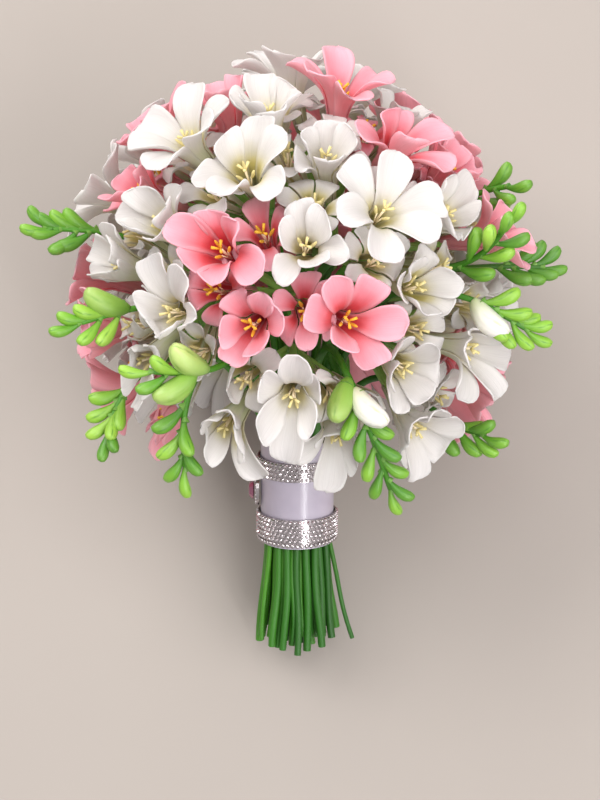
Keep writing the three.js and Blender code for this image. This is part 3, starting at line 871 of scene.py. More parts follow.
@dataclass(frozen=True)
class PetalFinish(Finish):
    """One face of a freesia tepal: colours from the funnel to the tip, thin enough to glow."""

    stops: Stops
    rim: str
    rim_share: float
    glow: str
    veins: float = 0.16
    roughness: float = 0.5

    def shader(self, add: AddNode) -> Socket:
        """Builds the matt blade and the light that comes through it.

        Args:
            add: Adds a node to the material's tree.

        Returns:
            The shader's output.
        """
        uv = add("UVMap", uv_map="UVMap")
        coords = add("TexCoord", output="Object")
        # Soft uneven patches about 6 mm across shift where each colour starts.
        patch = add("TexNoise", {"Vector": coords, "Scale": 160.0, "Detail": 3.0}, "Fac")
        shift = add("MapRange", {"Value": patch, "To Min": -0.07, "To Max": 0.07})
        along = add("Math", {0: add("SeparateXYZ", {0: uv}, "Y"), 1: shift}, operation="ADD")
        tone = add("Attribute", output="Fac", attribute_name="tone")
        wash = add("MapRange", {"Value": tone, "To Min": -0.1, "To Max": 0.13})
        place = add("Math", {0: along, 1: wash}, operation="ADD")
        colour = add("ValToRGB", {"Fac": place}, stops=self.stops)
        # The blade pales or deepens towards its side edges.
        side = add("Math", {0: add("SeparateXYZ", {0: uv}, "X"), 1: 0.5}, operation="SUBTRACT")
        off = add("Math", {0: side}, operation="ABSOLUTE")
        limits = {"Value": off, "From Min": 0.2, "From Max": 0.5, "To Max": self.rim_share}
        edge = add("MapRange", limits, interpolation_type="SMOOTHSTEP")
        colour = add("Mix", {0: edge, 6: colour, 7: linear(self.rim)}, 2, data_type="RGBA")
        # Fine veins run lengthwise, about 0.5 mm apart.
        stretch = add("Mapping", {"Vector": uv, "Scale": (34.0, 1.6, 1.0)})
        veins = add("TexNoise", {"Vector": stretch, "Scale": 1.0, "Detail": 2.0}, "Fac")
        lines = add("MapRange", {"Value": veins, "From Min": 0.35, "From Max": 0.65})
        shade = add("MapRange", {"Value": lines, "To Min": 1 - self.veins, "To Max": 1.0})
        grey = add("CombineColor", {0: shade, 1: shade, 2: shade})
        colour = add("Mix", {0: 0.5, 6: colour, 7: grey}, 2, data_type="RGBA", blend_type="MULTIPLY")
        bump = add("Bump", {"Height": veins, "Strength": 0.25, "Distance": 0.0006})
        blade = add("BsdfPrincipled", {
            "Base Color": colour, "Roughness": self.roughness, "Normal": bump,
            "Sheen Weight": 0.15, "Sheen Roughness": 0.5, "IOR": 1.4,
        })
        glow = add("Mix", {0: 0.6, 6: colour, 7: linear(self.glow)}, 2, data_type="RGBA")
        through = add("BsdfTranslucent", {"Color": glow, "Normal": bump})
        return add("MixShader", {0: 0.36, 1: blade, 2: through})


@dataclass(frozen=True)
class GreenFinish(Finish):
    """A waxy green skin whose colour runs along the piece, with mottling and fine ribs."""

    stops: Stops
    dark: str
    light: str
    roughness: float = 0.42
    ribs: float = 24.0

    def shader(self, add: AddNode) -> Socket:
        """Builds the waxy skin, darker in its seams.

        Args:
            add: Adds a node to the material's tree.

        Returns:
            The shader's output.
        """
        uv = add("UVMap", uv_map="UVMap")
        coords = add("TexCoord", output="Object")
        # Mottling about 4 mm across.
        patch = add("TexNoise", {"Vector": coords, "Scale": 260.0, "Detail": 4.0}, "Fac")
        shift = add("MapRange", {"Value": patch, "To Min": -0.1, "To Max": 0.1})
        place = add("Math", {0: add("SeparateXYZ", {0: uv}, "Y"), 1: shift}, operation="ADD")
        colour = add("ValToRGB", {"Fac": place}, stops=self.stops)
        # A low tone is a dark piece and a high one a light piece; a bud's tone also carries its spray's painted
        # shade. The seams are darkened as painted shade in their grooves.
        for attribute, limits, share, code in (
            ("tone", (0.62, 0.0), 0.62, self.dark),
            ("tone", (0.55, 1.0), 0.6, self.light),
            ("seam", (0.3, 1.0), 0.7, self.dark),
        ):
            value = add("Attribute", output="Fac", attribute_name=attribute)
            span = {"Value": value, "From Min": limits[0], "From Max": limits[1], "To Max": share}
            colour = add("Mix", {0: add("MapRange", span), 6: colour, 7: linear(code)}, 2, data_type="RGBA")
        stretch = add("Mapping", {"Vector": uv, "Scale": (self.ribs, 1.2, 1.0)})
        ribs = add("TexNoise", {"Vector": stretch, "Scale": 1.0, "Detail": 2.0}, "Fac")
        bump = add("Bump", {"Height": ribs, "Strength": 0.3, "Distance": 0.0008})
        return add("BsdfPrincipled", {
            "Base Color": colour, "Roughness": self.roughness, "Normal": bump,
            "Subsurface Weight": 0.12, "Subsurface Radius": (0.6, 1.0, 0.3), "Subsurface Scale": 0.002,
            "Coat Weight": 0.12, "Coat Roughness": 0.35,
        })


@dataclass(frozen=True)
class PlainFinish(Finish):
    """A plain even finish with a faint mottling, such as metal, crystal or pollen."""

    colour: str
    roughness: float
    metallic: float = 0.0
    transmission: float = 0.0
    mottle: float = 0.0
    grain: float = 900.0
    coat: float = 0.0
    ior: float = 1.5

    def shader(self, add: AddNode) -> Socket:
        """Builds the mottled surface.

        Args:
            add: Adds a node to the material's tree.

        Returns:
            The shader's output.
        """
        coords = add("TexCoord", output="Object")
        patch = add("TexNoise", {"Vector": coords, "Scale": self.grain, "Detail": 3.0}, "Fac")
        shade = add("MapRange", {"Value": patch, "To Min": 1 - self.mottle, "To Max": 1.0})
        grey = add("CombineColor", {0: shade, 1: shade, 2: shade})
        mixed = {0: 1.0, 6: linear(self.colour), 7: grey}
        return add("BsdfPrincipled", {
            "Base Color": add("Mix", mixed, 2, data_type="RGBA", blend_type="MULTIPLY"),
            "Roughness": self.roughness, "Metallic": self.metallic,
            "Transmission Weight": self.transmission, "Coat Weight": self.coat, "IOR": self.ior,
        })


@dataclass(frozen=True)
class SatinFinish(Finish):
    """Duchess satin ribbon: a bright even sheen across fine weft threads."""

    colour: str
    shade: str

    def shader(self, add: AddNode) -> Socket:
        """Builds the woven, glossy cloth.

        Args:
            add: Adds a node to the material's tree.

        Returns:
            The shader's output.
        """
        # Weft threads run round the handle. They are drawn 0.45 mm apart, because the real ones,
        # at about half of that, would not show.
        weft = {"Vector": add("UVMap", uv_map="UVMap"), "Scale": 36.0, "Distortion": 0.6, "Detail": 1.0}
        threads = add("TexWave", weft, "Fac", wave_type="BANDS", bands_direction="Y")
        # Patches at random mix the ribbon's colour with its darker shade colour; both are dulled towards grey as
        # painted shade.
        coords = add("TexCoord", output="Object")
        patch = add("TexNoise", {"Vector": coords, "Scale": 90.0, "Detail": 2.0}, "Fac")
        tones = {0: patch, 6: linear(self.colour), 7: linear(self.shade)}
        return add("BsdfPrincipled", {
            "Base Color": add("Mix", tones, 2, data_type="RGBA"), "Roughness": 0.24,
            "Normal": add("Bump", {"Height": threads, "Strength": 0.12, "Distance": 0.0002}),
            "Tangent": add("Tangent", direction_type="UV_MAP", uv_map="UVMap"),
            "Anisotropic": 0.3, "Sheen Weight": 0.3, "Sheen Roughness": 0.3, "IOR": 1.6,
            "Coat Weight": 0.25, "Coat Roughness": 0.2,
        })


# The white tepals are creamy green in the throat and a soft warm white at the tips.
WHITE_FRONT_FACE = PetalFinish(
    "white freesia tepal, inner face",
    ((0.0, "#9a9a3c"), (0.2, "#cdbd62"), (0.27, "#e2d898"), (0.35, "#e9e4d3"), (0.46, "#edeae8"), (1.0, "#edeaea")),
    "#f3f0ef", 0.4, "#f5f1f0",
)
WHITE_BACK_FACE = PetalFinish(
    "white freesia tepal, outer face",
    ((0.0, "#c3cf8c"), (0.22, "#dfe0c6"), (0.38, "#e9e7e3"), (0.7, "#edeae9"), (1.0, "#ece9e8")),
    "#f2efee", 0.3, "#f5f1f0",
)
# The pink tepals run from a deep coral throat to pale rose tips.
PINK_FRONT_FACE = PetalFinish(
    "pink freesia tepal, inner face",
    ((0.0, "#b8202b"), (0.22, "#dc3540"), (0.33, "#ee5a62"), (0.44, "#f6909d"), (0.6, "#fab1c0"), (1.0, "#fdcfdd")),
    "#fdd3df", 0.5, "#ffa6b8",
)
PINK_BACK_FACE = PetalFinish(
    "pink freesia tepal, outer face",
    ((0.0, "#eda0a4"), (0.25, "#f3a4ac"), (0.5, "#f9b0bb"), (0.8, "#fcc2ce"), (1.0, "#fdcad5")),
    "#fdccd6", 0.35, "#ff9aa8",
)
# Waxy greens: closed buds are fresh and bright, opening ones paler, and stems deep green, darkened further as painted
# shade, since the handle lies in dimmer light.
CALYX_SKIN = GreenFinish(
    "freesia calyx and stalk", ((0.0, "#4f8a33"), (1.0, "#86b455")), "#3c7a2c", "#9cc465",
)
BUD_SKIN = GreenFinish(
    "freesia bud skin",
    ((0.0, "#357018"), (0.3, "#579424"), (0.6, "#77ad31"), (0.85, "#8abc3e"), (1.0, "#74a62e")),
    "#256a1e", "#a8cc52",
)
BIG_BUD_SKIN = GreenFinish(
    "half open freesia bud",
    ((0.0, "#4c8529"), (0.3, "#7ba63c"), (0.6, "#a2c05c"), (0.85, "#bdd080"), (1.0, "#b0c668")),
    "#6f9c38", "#ccdb9a",
)
PALE_BUD_SKIN = GreenFinish(
    "white freesia bud",
    ((0.0, "#8fb04a"), (0.18, "#c3cf8c"), (0.42, "#dddccb"), (0.8, "#e0dddb"), (1.0, "#dcd6c8")),
    "#b9c184", "#e4e1df",
)
STEM_SKIN = GreenFinish(
    "freesia stem skin", ((0.0, "#236409"), (0.5, "#2d730d"), (1.0, "#4a8c18")), "#0d4206", "#52961e",
    roughness=0.5,
)
# A fresh cut is pale and matt, with darker strands in its pith.
CUT_STEM = PlainFinish("cut end of a stem", "#a9c47c", 0.6, mottle=0.35, grain=1800.0)
# Pollen is dry and matt, and the filaments that carry it are smoother.
YELLOW_POLLEN = PlainFinish("anther with yellow pollen", "#f4bf3a", 0.75, mottle=0.25, grain=2600.0)
CREAM_POLLEN = PlainFinish("anther with cream pollen", "#eedf9e", 0.75, mottle=0.25, grain=2600.0)
FILAMENT = PlainFinish("filament and style", "#f8e6c4", 0.5, mottle=0.1)
# Everything on the handle shines: satin softly, silver and foil-backed stones in hard glints. The satin's lavender
# white, the silver and the stones are dulled towards grey as painted shade, since the handle lies in dimmer light.
SATIN = SatinFinish("lavender white satin ribbon", "#c3bbca", "#ada4b6")
SILVER = PlainFinish("polished silver setting", "#c3bcbe", 0.2, metallic=1.0, mottle=0.12)
CRYSTAL = PlainFinish("foil backed rhinestone", "#e2dbdf", 0.04, metallic=0.92, mottle=0.05, coat=1.0)
ROSE_CRYSTAL = PlainFinish("dusky rose crystal", "#a8607c", 0.04, metallic=0.35, transmission=0.3, coat=1.0, ior=1.6)
# Matt card scatters the light, so the shadows on it stay soft.
FLOOR_CARD = PlainFinish("pale matt card", "#a69e98", 0.85, mottle=0.04, grain=14.0)
FACES = {Colour.WHITE: (WHITE_FRONT_FACE, WHITE_BACK_FACE), Colour.PINK: (PINK_FRONT_FACE, PINK_BACK_FACE)}
POLLEN = {Colour.WHITE: CREAM_POLLEN, Colour.PINK: YELLOW_POLLEN}


def choose(*pieces: Piece) -> None:
    """Selects pieces and nothing else, and makes the first active.

    Args:
        pieces: The pieces.
    """
    bpy.ops.object.select_all(action="DESELECT")
    for piece in pieces:
        piece.select_set(True)
    bpy.context.view_layer.objects.active = pieces[0]


def made(name: str, operator: Callable[..., set[str]], **sizes: object) -> Piece:
    """The piece that an operator makes at given sizes, under its own name.

    Args:
        name: The piece's name.
        operator: The operator.
        sizes: What the operator is given.

    Returns:
        The piece.
    """
    operator(**sizes)
    piece = bpy.context.object
    piece.name = piece.data.name = name
    return piece


def join_all(pieces: Sequence[Piece], name: str) -> Piece:
    """Joins pieces into one, untransformed at the origin, and names it.

    Args:
        pieces: The pieces, in order.
        name: The name of what they become.

    Returns:
        The joined piece.
    """
    choose(*pieces)
    if len(pieces) > 1:
        bpy.ops.object.join()
    return made(name, bpy.ops.object.transform_apply, location=True, rotation=True, scale=True)


def corners(piece: Piece) -> Array:
    """The coordinates of a piece's vertices.

    Args:
        piece: The piece.

    Returns:
        The coordinates, one vertex to a row.
    """
    flat = np.empty(len(piece.data.vertices) * 3)
    piece.data.vertices.foreach_get("co", flat)
    return flat.reshape(-1, 3)


def give_values(piece: Piece, name: str, values: Array | float) -> None:
    """Gives each vertex of a piece a value that its material reads."""
    layer = piece.data.attributes.new(name, "FLOAT", "POINT")
    layer.data.foreach_set("value", np.full(len(piece.data.vertices), values))


def give_uv(piece: Piece, u: Array, v: Array) -> None:
    """Sets a piece's UV map from one pair of coordinates for each vertex.

    Args:
        piece: The piece.
        u: The first coordinate of each vertex.
        v: The second one.
    """
    mesh = piece.data
    layer = mesh.uv_layers.get("UVMap") or mesh.uv_layers.new(name="UVMap")
    index = np.empty(len(mesh.loops), dtype=np.int32)
    mesh.loops.foreach_get("vertex_index", index)
    layer.data.foreach_set("uv", np.stack((u[index], v[index]), axis=1).astype(np.float32).ravel())


def copy_of(master: Piece, points: Array, tone: float = 0.5) -> Piece:
    """A copy of a master with its own mesh, whose vertices are put at new points.

    Args:
        master: The piece modelled once.
        points: The new points, in metres.
        tone: A number from 0 to 1 that shifts the copy's colour.

    Returns:
        The copy.
    """
    mesh = master.data.copy()
    mesh.vertices.foreach_set("co", points.ravel())
    copy = bpy.data.objects.new(master.name, mesh)
    bpy.context.collection.objects.link(copy)
    give_values(copy, "tone", tone)
    return copy


def apply_modifier(piece: Piece, kind: str, **settings: object) -> None:
    """Adds a modifier to a piece and applies it.

    Args:
        piece: The piece.
        kind: The modifier's type.
        settings: Its settings.
    """
    choose(piece)
    modifier = piece.modifiers.new(kind.title(), kind)
    for name, value in settings.items():
        setattr(modifier, name, value)
    bpy.ops.object.modifier_apply(modifier=modifier.name)


def turn_outward(piece: Piece) -> None:
    """Turns a closed piece's faces outward.

    Args:
        piece: The piece.
    """
    choose(piece)
    bpy.ops.object.mode_set(mode="EDIT")
    bpy.ops.mesh.select_all(action="SELECT")
    bpy.ops.mesh.normals_make_consistent(inside=False)
    bpy.ops.object.mode_set(mode="OBJECT")


def smooth(piece: Piece, sharp: float = 0.0) -> None:
    """Shades a piece smooth, but for edges sharper than an angle in degrees where one is given.

    Args:
        piece: The piece.
        sharp: The angle, or 0 for none.
    """
    choose(piece)
    if sharp:
        bpy.ops.object.shade_smooth_by_angle(angle=math.radians(sharp))
    else:
        bpy.ops.object.shade_smooth()


def dressed(piece: Piece, *finishes: Finish) -> Piece:
    """A piece with its finishes.

    Args:
        piece: The piece.
        finishes: Its finishes, in the order of its material numbers.

    Returns:
        The same piece.
    """
    for finish in finishes:
        piece.data.materials.append(finish.material())
    return piece


def hand_over(piece: Piece, slot: str, *nodes: str) -> Handed:
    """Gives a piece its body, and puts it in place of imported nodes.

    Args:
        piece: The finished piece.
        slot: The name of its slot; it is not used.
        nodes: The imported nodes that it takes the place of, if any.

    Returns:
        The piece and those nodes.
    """
    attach(piece, "root")
    if nodes:
        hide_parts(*nodes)
    return piece, nodes


def report(piece: Piece, nodes: Sequence[str]) -> None:
    """Notes a piece's size and triangles, and how well it fits the first node that it replaces.

    Args:
        piece: The piece.
        nodes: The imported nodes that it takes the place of, if any.
    """
    points = corners(piece)
    low, high = points.min(axis=0), points.max(axis=0)
    count = sum(len(face.vertices) - 2 for face in piece.data.polygons)
    note = ""
    if nodes:
        packed_low, packed_high = np.array(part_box(nodes[0])).reshape(2, 3)
        worst = max(np.abs(low - packed_low).max(), np.abs(high - packed_high).max()) / MM
        note = f", at most {worst:.1f} mm from the packed box"
    log.info("%s: %s mm, %d triangles%s", piece.name, ((high - low) / MM).round(1).tolist(), count, note)


def smooth_line(points: Sequence[Array], step: float) -> Array:
    """A smooth line through points that lie unevenly far apart.

    Args:
        points: The points, in millimetres.
        step: About how far apart the line's own points are.

    Returns:
        The line's points.
    """
    fixed = np.array(points)
    run = np.concatenate(((0.0,), np.cumsum(np.linalg.norm(np.diff(fixed, axis=0), axis=1))))
    at = np.linspace(0, run[-1], max(2, round(run[-1] / step)) + 1)
    return np.stack([eased(run, fixed[:, k], at) for k in range(3)], axis=1)


def drawn_tube(name: str, line: Array, radii: Array, sides: int = 10) -> Piece:
    """A round tube with closed ends, with a UV map round it and back across and along it up.

    Args:
        name: The tube's name.
        line: The points of its centre line, in metres.
        radii: Its radius at each point, in metres.
        sides: How many flat sides it is drawn with.

    Returns:
        The tube.
    """
    curve = bpy.data.curves.new(name, "CURVE")
    curve.dimensions = "3D"
    curve.bevel_depth, curve.bevel_resolution, curve.use_fill_caps = 1.0, (sides - 4) // 2, True
    spline = curve.splines.new("POLY")
    spline.points.add(len(line) - 1)
    spline.points.foreach_set("co", np.hstack((line, np.ones((len(line), 1)))).ravel())
    spline.points.foreach_set("radius", radii)
    drawn = bpy.data.objects.new(name, curve)
    bpy.context.collection.objects.link(drawn)
    choose(drawn)
    piece = made(name, bpy.ops.object.convert, target="MESH")
    order, ring = np.arange(len(piece.data.vertices)), len(piece.data.vertices) // len(line)
    give_uv(piece, np.abs(2 * (order % ring) / ring - 1), np.clip(order // ring / (len(line) - 1), 0, 1))
    return piece


@dataclass
class Maker:
    """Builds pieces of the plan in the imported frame, the repeats as copies of masters."""

    plan: BouquetPlan
    lying: Lying
    masters: dict[str, Piece] = field(default_factory=dict)

    def stretched(
        self, master: str, start: Array, end: Array, radii: tuple[float, float], tone: float = 0.5,
        hint: Array | None = None,
    ) -> Piece:
        """A copy of a master of unit radius and height 2, stretched between two places.

        Args:
            master: The master's name.
            start: The place of its foot.
            end: The place of its top.
            radii: Its radius at the foot and at the top.
            tone: A number from 0 to 1 that shifts its colour.
            hint: The direction that its first side faces, as near as can be.

        Returns:
            The copy.
        """
        shape = corners(self.masters[master])
        axis = unit(end - start)
        if hint is None:
            hint = vec(0.31, 0.52, 0.79) if abs(axis[2]) < 0.9 else vec(1, 0.2, 0.1)
        side, over = square_to(axis, hint)
        share = (shape[:, 2:] + 1) / 2
        girth = radii[0] + (radii[1] - radii[0]) * share
        points = start + (end - start) * share + side * shape[:, :1] * girth + over * shape[:, 1:2] * girth
        return copy_of(self.masters[master], self.lying.world(points), tone)

    def placed(self, master: str, place: Array, axes: Axes, sizes: Vec3) -> Piece:
        """A copy of a master at a place of the plan, with its axes and half sizes there.

        Args:
            master: The master's name.
            place: Where its middle goes.
            axes: Where its three axes point.
            sizes: Its half size along each.

        Returns:
            The copy.
        """
        shape = corners(self.masters[master])
        points = place + sum((np.outer(shape[:, k] * sizes[k], axes[k]) for k in range(3)), np.zeros(3))
        return copy_of(self.masters[master], self.lying.world(points))

    def clear(self) -> None:
        """Removes the masters, once every copy is made."""
        for master in self.masters.values():
            bpy.data.objects.remove(master, do_unlink=True)


@dataclass(frozen=True)
class Whorl:
    """Three like tepals of a floret: their centre line and half width, in millimetres."""

    out: tuple[float, ...]
    rise: tuple[float, ...]
    half: tuple[float, ...]
    nesting: float


SHARES = (0.0, 0.12, 0.26, 0.42, 0.58, 0.72, 0.84, 0.94, 1.0)
CURVATURE = (2.3, 3.8, 6.4, 8.0, 9.2, 10.2, 11.2, 12.4, 13.5)
LINE = np.linspace(0, 1, 61)
OUTER_WHORL = Whorl(
    (2.2, 3.7, 6.2, 11.2, 16.6, 21.0, 24.2, 26.2, 26.9),
    (-22, -11, -1.0, 4.8, 7.6, 9.0, 9.5, 9.5, 9.4),
    (1.3, 2.1, 3.7, 6.6, 9.2, 10.3, 9.0, 5.4, 0.9),
    -0.42,
)
INNER_WHORL = Whorl(
    (2.2, 3.6, 5.8, 9.8, 14.0, 17.8, 20.8, 22.7, 23.4),
    (-22, -11, -1.0, 5.3, 9.5, 12.2, 13.8, 14.6, 14.8),
    (1.3, 2.1, 3.5, 6.2, 8.6, 9.4, 8.2, 4.9, 0.9),
    0.42,
)


@dataclass
class FloretSprays(Maker):
    """The open florets: six tepals each round a funnel, with stamens, on a shared calyx."""

    blade: float = 0.62
    rows: int = 14
    columns: int = 10
    sizes: tuple[tuple[float, float], ...] = (
        (1, 1), (0.94, 0.9), (0.9, 0.82), (0.84, 0.74), (0.78, 0.66), (0.7, 0.56),
    )
    high_tries: tuple[tuple[float, int], ...] = (
        (-4, 0), (4, 0), (-11, 0), (11, 0), (4, 1), (11, 1), (19, 1), (4, 2), (11, 2), (19, 2),
    )
    low_tries: tuple[tuple[float, int], ...] = ((-16, 1), (-23, 1), (-23, 2), (-23, 3), (-23, 4), (-9, 4), (-23, 5))
    press: float = 4.0
    gain: float = 0.5
    give: float = 0.35
    softness: float = 3.0
    pressed_depth: float = 6.0
    box_margin: float = 0.7
    blade_start: float = 0.42
    throat_share: float = 0.3
    lengths: tuple[float, float] = (0.95, 0.12)
    breadths: tuple[float, float] = (0.92, 0.14)
    curl: float = 4.4
    frill: float = 0.9
    midrib: float = 0.3
    twist: float = 0.36
    sideways: float = 4.4
    upright: Vec3 = (0.4, 0.3, 1)
    funnel_drop: float = 19
    funnel_radii: tuple[float, float] = (1.7, 2.5)
    heart_depth: float = 9

    def build(self) -> list[Handed]:
        """Models and dresses every spray of florets.

        Returns:
            Each piece, with the nodes that it replaces.
        """
        grid, cylinder = bpy.ops.mesh.primitive_grid_add, bpy.ops.mesh.primitive_cylinder_add
        ball = bpy.ops.mesh.primitive_uv_sphere_add
        self.masters = {
            "tepal": made("tepal", grid, x_subdivisions=self.columns, y_subdivisions=self.rows, size=2),
            "rod": made("rod", cylinder, vertices=10, radius=1, depth=2),
            "anther": made("anther", ball, segments=8, ring_count=6, radius=1),
        }
        pieces = [make(spray) for spray in self.plan.sprays for make in (self.petals, self.stamens)]
        self.clear()
        return pieces

    def petals(self, spray: Spray) -> Handed:
        """A spray's tepals with their funnels and the calyx that holds them.

        Args:
            spray: The spray.

        Returns:
            The piece and the node that it replaces.
        """
        florets = [self.plan.florets[i] for i in spray.members]
        name = f"tepals_of_{spray.name}"
        blades = join_all([blade for floret in florets for blade in self.tepals(floret)], name)
        dressed(blades, *FACES[spray.colour])
        wall = {"thickness": self.blade * MM, "offset": 0.0, "material_offset": 1, "use_even_offset": False}
        apply_modifier(blades, "SOLIDIFY", **wall)
        smooth(blades)
        stalks = [self.funnel(floret) for floret in florets] + [self.cup(spray)]
        piece = join_all([blades, *(dressed(stalk, CALYX_SKIN) for stalk in stalks)], name)
        return hand_over(piece, f"{spray.colour.value}_petals", spray.name)

    def stamens(self, spray: Spray) -> Handed:
        """The stamens and styles in the throats of a spray's florets.

        Args:
            spray: The spray.

        Returns:
            The piece, which replaces no node.
        """
        florets = [self.plan.florets[i] for i in spray.members]
        parts = [part for floret in florets for part in self.stamens_in(floret, POLLEN[spray.colour])]
        piece = join_all(parts, f"stamens_of_{spray.name}")
        smooth(piece)
        return hand_over(piece, f"{spray.colour.value}_petals")

    def tepals(self, floret: Floret) -> list[Piece]:
        """The floret's six tepals, each raised until it fits between its neighbours.

        Args:
            floret: The floret.

        Returns:
            The tepals, before they are given their thickness.
        """
        walls, box = self.plan.walls_of(floret), self.lying.box_walls(self.box_margin)
        normals, offsets = (np.concatenate(pair) for pair in zip(walls, box))
        flat = corners(self.masters["tepal"])
        across, along = flat[:, 0], (flat[:, 1] + 1) / 2
        return [
            copy_of(
                self.masters["tepal"],
                self.lying.world(self.fitted(floret, j, across, along, normals, offsets)),
                0.6 * varied(floret.index, 5) + 0.4 * varied(floret.index * 6 + j, 23),
            )
            for j in range(6)
        ]

    def fitted(self, floret: Floret, j: int, across: Array, along: Array, normals: Array, offsets: Array) -> Array:
        """One tepal's points: swung up as far as its neighbours ask, then pressed clear of them.

        Args:
            floret: The floret.
            j: Which of its six tepals.
            across: Each point's place across the tepal, from -1 to 1.
            along: Each point's share of the way from the funnel's foot to the tip.
            normals: The normals of the walls round the floret.
            offsets: How far out each wall stands.

        Returns:
            The points, in millimetres.
        """
        best, least = None, math.inf
        blade = along > self.blade_start
        for swing, size in self.low_tries if floret.sunk else self.high_tries:
            points = self.tepal(floret, j, across, along, swing, self.sizes[size])
            past = float((offsets - points[blade] @ normals.T).max())
            if past < least - self.gain:
                best, least = points, past
            if past < self.press:
                break
        loose = np.clip((along - self.throat_share) * 2.8, 0, 1)
        for _ in range(2):
            for k, (normal, offset) in enumerate(zip(normals, offsets)):
                give = self.give if k < len(offsets) - 6 else 0
                beyond = best @ normal - offset
                kept = (beyond + np.sqrt(beyond**2 + self.softness)) / 2 + give * np.minimum(beyond, 0)
                best = best + np.outer((kept - beyond) * loose * (beyond < self.pressed_depth), normal)
        return best

    def tepal(
        self, floret: Floret, j: int, across: Array, along: Array, swing: float, size: tuple[float, float],
    ) -> Array:
        """One tepal's points before its neighbours press on it.

        Args:
            floret: The floret.
            j: Which of its six tepals; the even ones are the outer whorl.
            across: Each point's place across the tepal, from -1 to 1.
            along: Each point's share of the way from the funnel's foot to the tip.
            swing: How far the blade is swung up at the throat, in degrees.
            size: The blade's breadth and length as shares of the full ones.

        Returns:
            The points, in millimetres.
        """
        whorl = INNER_WHORL if j % 2 else OUTER_WHORL
        own = floret.index * 6 + j
        length = (self.lengths[0] + self.lengths[1] * varied(own, 1)) * size[1]
        breadth = (self.breadths[0] + self.breadths[1] * varied(own, 2)) * size[0]
        angle = floret.roll + (j + 0.5) * math.pi / 3 + math.radians(9) * (varied(own, 3) - 0.5)
        radial, axial, lean = self.centre_line(whorl, floret.open, length, self.curl * (varied(own, 4) - 0.2), swing)
        half, bend = eased(SHARES, whorl.half, along) * breadth, eased(SHARES, CURVATURE, along)
        out, rise, slope = (np.interp(along, LINE, line) for line in (radial, axial, lean))
        arc, free = across * half / bend, np.clip((along - self.throat_share) * 2, 0, 1)
        # The blade is a trough with a frilled edge and a fine groove down its midrib.
        inward = bend * (1 - np.cos(arc)) + whorl.nesting
        wave = np.sin(FULL_TURN * (varied(own, 6) + along * (1.3 + varied(own, 7))) + across)
        inward = inward + self.frill * wave * np.abs(across) ** 3 * np.clip((along - 0.35) * 2, 0, 1)
        inward = inward - self.midrib * np.exp(-((across / 0.16) ** 2)) * free
        # Each blade is rolled a little about its midrib and bends to one side towards its tip.
        inward = inward + self.twist * (varied(own, 21) - 0.5) * across * half * free
        aside = self.sideways * (varied(own, 22) - 0.5) * free**2 - bend * np.sin(arc)
        out, rise = out - inward * np.sin(slope), rise + inward * np.cos(slope)
        # Below the throat the tepal turns from the floret's facing to its funnel's.
        tube_axis = unit(floret.throat - floret.base)
        up_across, up_over = square_to(floret.axis, vec(*self.upright))
        down_across, down_over = square_to(tube_axis, up_across)
        share = np.clip(1 + rise / 8, 0, 1)[:, None]
        frame_across = up_across * share + down_across * (1 - share)
        frame_over = up_over * share + down_over * (1 - share)
        frame_axis = floret.axis * share + tube_axis * (1 - share)
        cos, sin = math.cos(angle), math.sin(angle)
        radial_way, side_way = frame_across * cos + frame_over * sin, frame_over * cos - frame_across * sin
        return floret.throat + radial_way * out[:, None] + side_way * aside[:, None] + frame_axis * rise[:, None]

    @staticmethod
    def centre_line(whorl: Whorl, opening: float, length: float, curl: float, swing: float) -> tuple[Array, ...]:
        """A tepal's centre line and its slope, swung up progressively past the throat.

        Args:
            whorl: The whorl that the tepal belongs to.
            opening: How far open the floret is, as a share.
            length: The blade's length as a share of the full one.
            curl: How far the tip curls up, in millimetres.
            swing: How far the blade is swung up, in degrees.

        Returns:
            How far out, how high and how steep the line is at each of its points.
        """
        out, rise = eased(SHARES, whorl.out, LINE), eased(SHARES, whorl.rise, LINE)
        above = LINE > 0.26
        out = np.where(above, 6 + (out - 6) * opening * length, out)
        rise = np.where(above, rise * length / opening, rise) + curl * np.clip(LINE - 0.6, 0, 1) ** 2 * 4
        step_out, step_rise = np.diff(out, prepend=out[0]), np.diff(rise, prepend=rise[0])
        turn = np.radians(swing) * np.clip((LINE - 0.2) / 0.25, 0, 1)
        out = out[0] + np.cumsum(step_out * np.cos(turn) - step_rise * np.sin(turn))
        rise = rise[0] + np.cumsum(step_out * np.sin(turn) + step_rise * np.cos(turn))
        return out, rise, np.arctan2(np.gradient(rise), np.gradient(out))

    def funnel(self, floret: Floret) -> Piece:
        """The narrow tube from the calyx up to where the tepals part."""
        way = unit(floret.throat - floret.base)
        return self.stretched("rod", floret.base, floret.throat - way * self.funnel_drop, self.funnel_radii, 0.9)

    def cup(self, spray: Spray) -> Piece:
        """The calyx where the spray's funnels meet the stem.

        Args:
            spray: The spray.

        Returns:
            The calyx.
        """
        low, high = self.plan.cup
        foot, top = spray.base - spray.direction * low, spray.base + spray.direction * low
        return self.stretched("rod", foot, top, (2.4, high), 0.3)

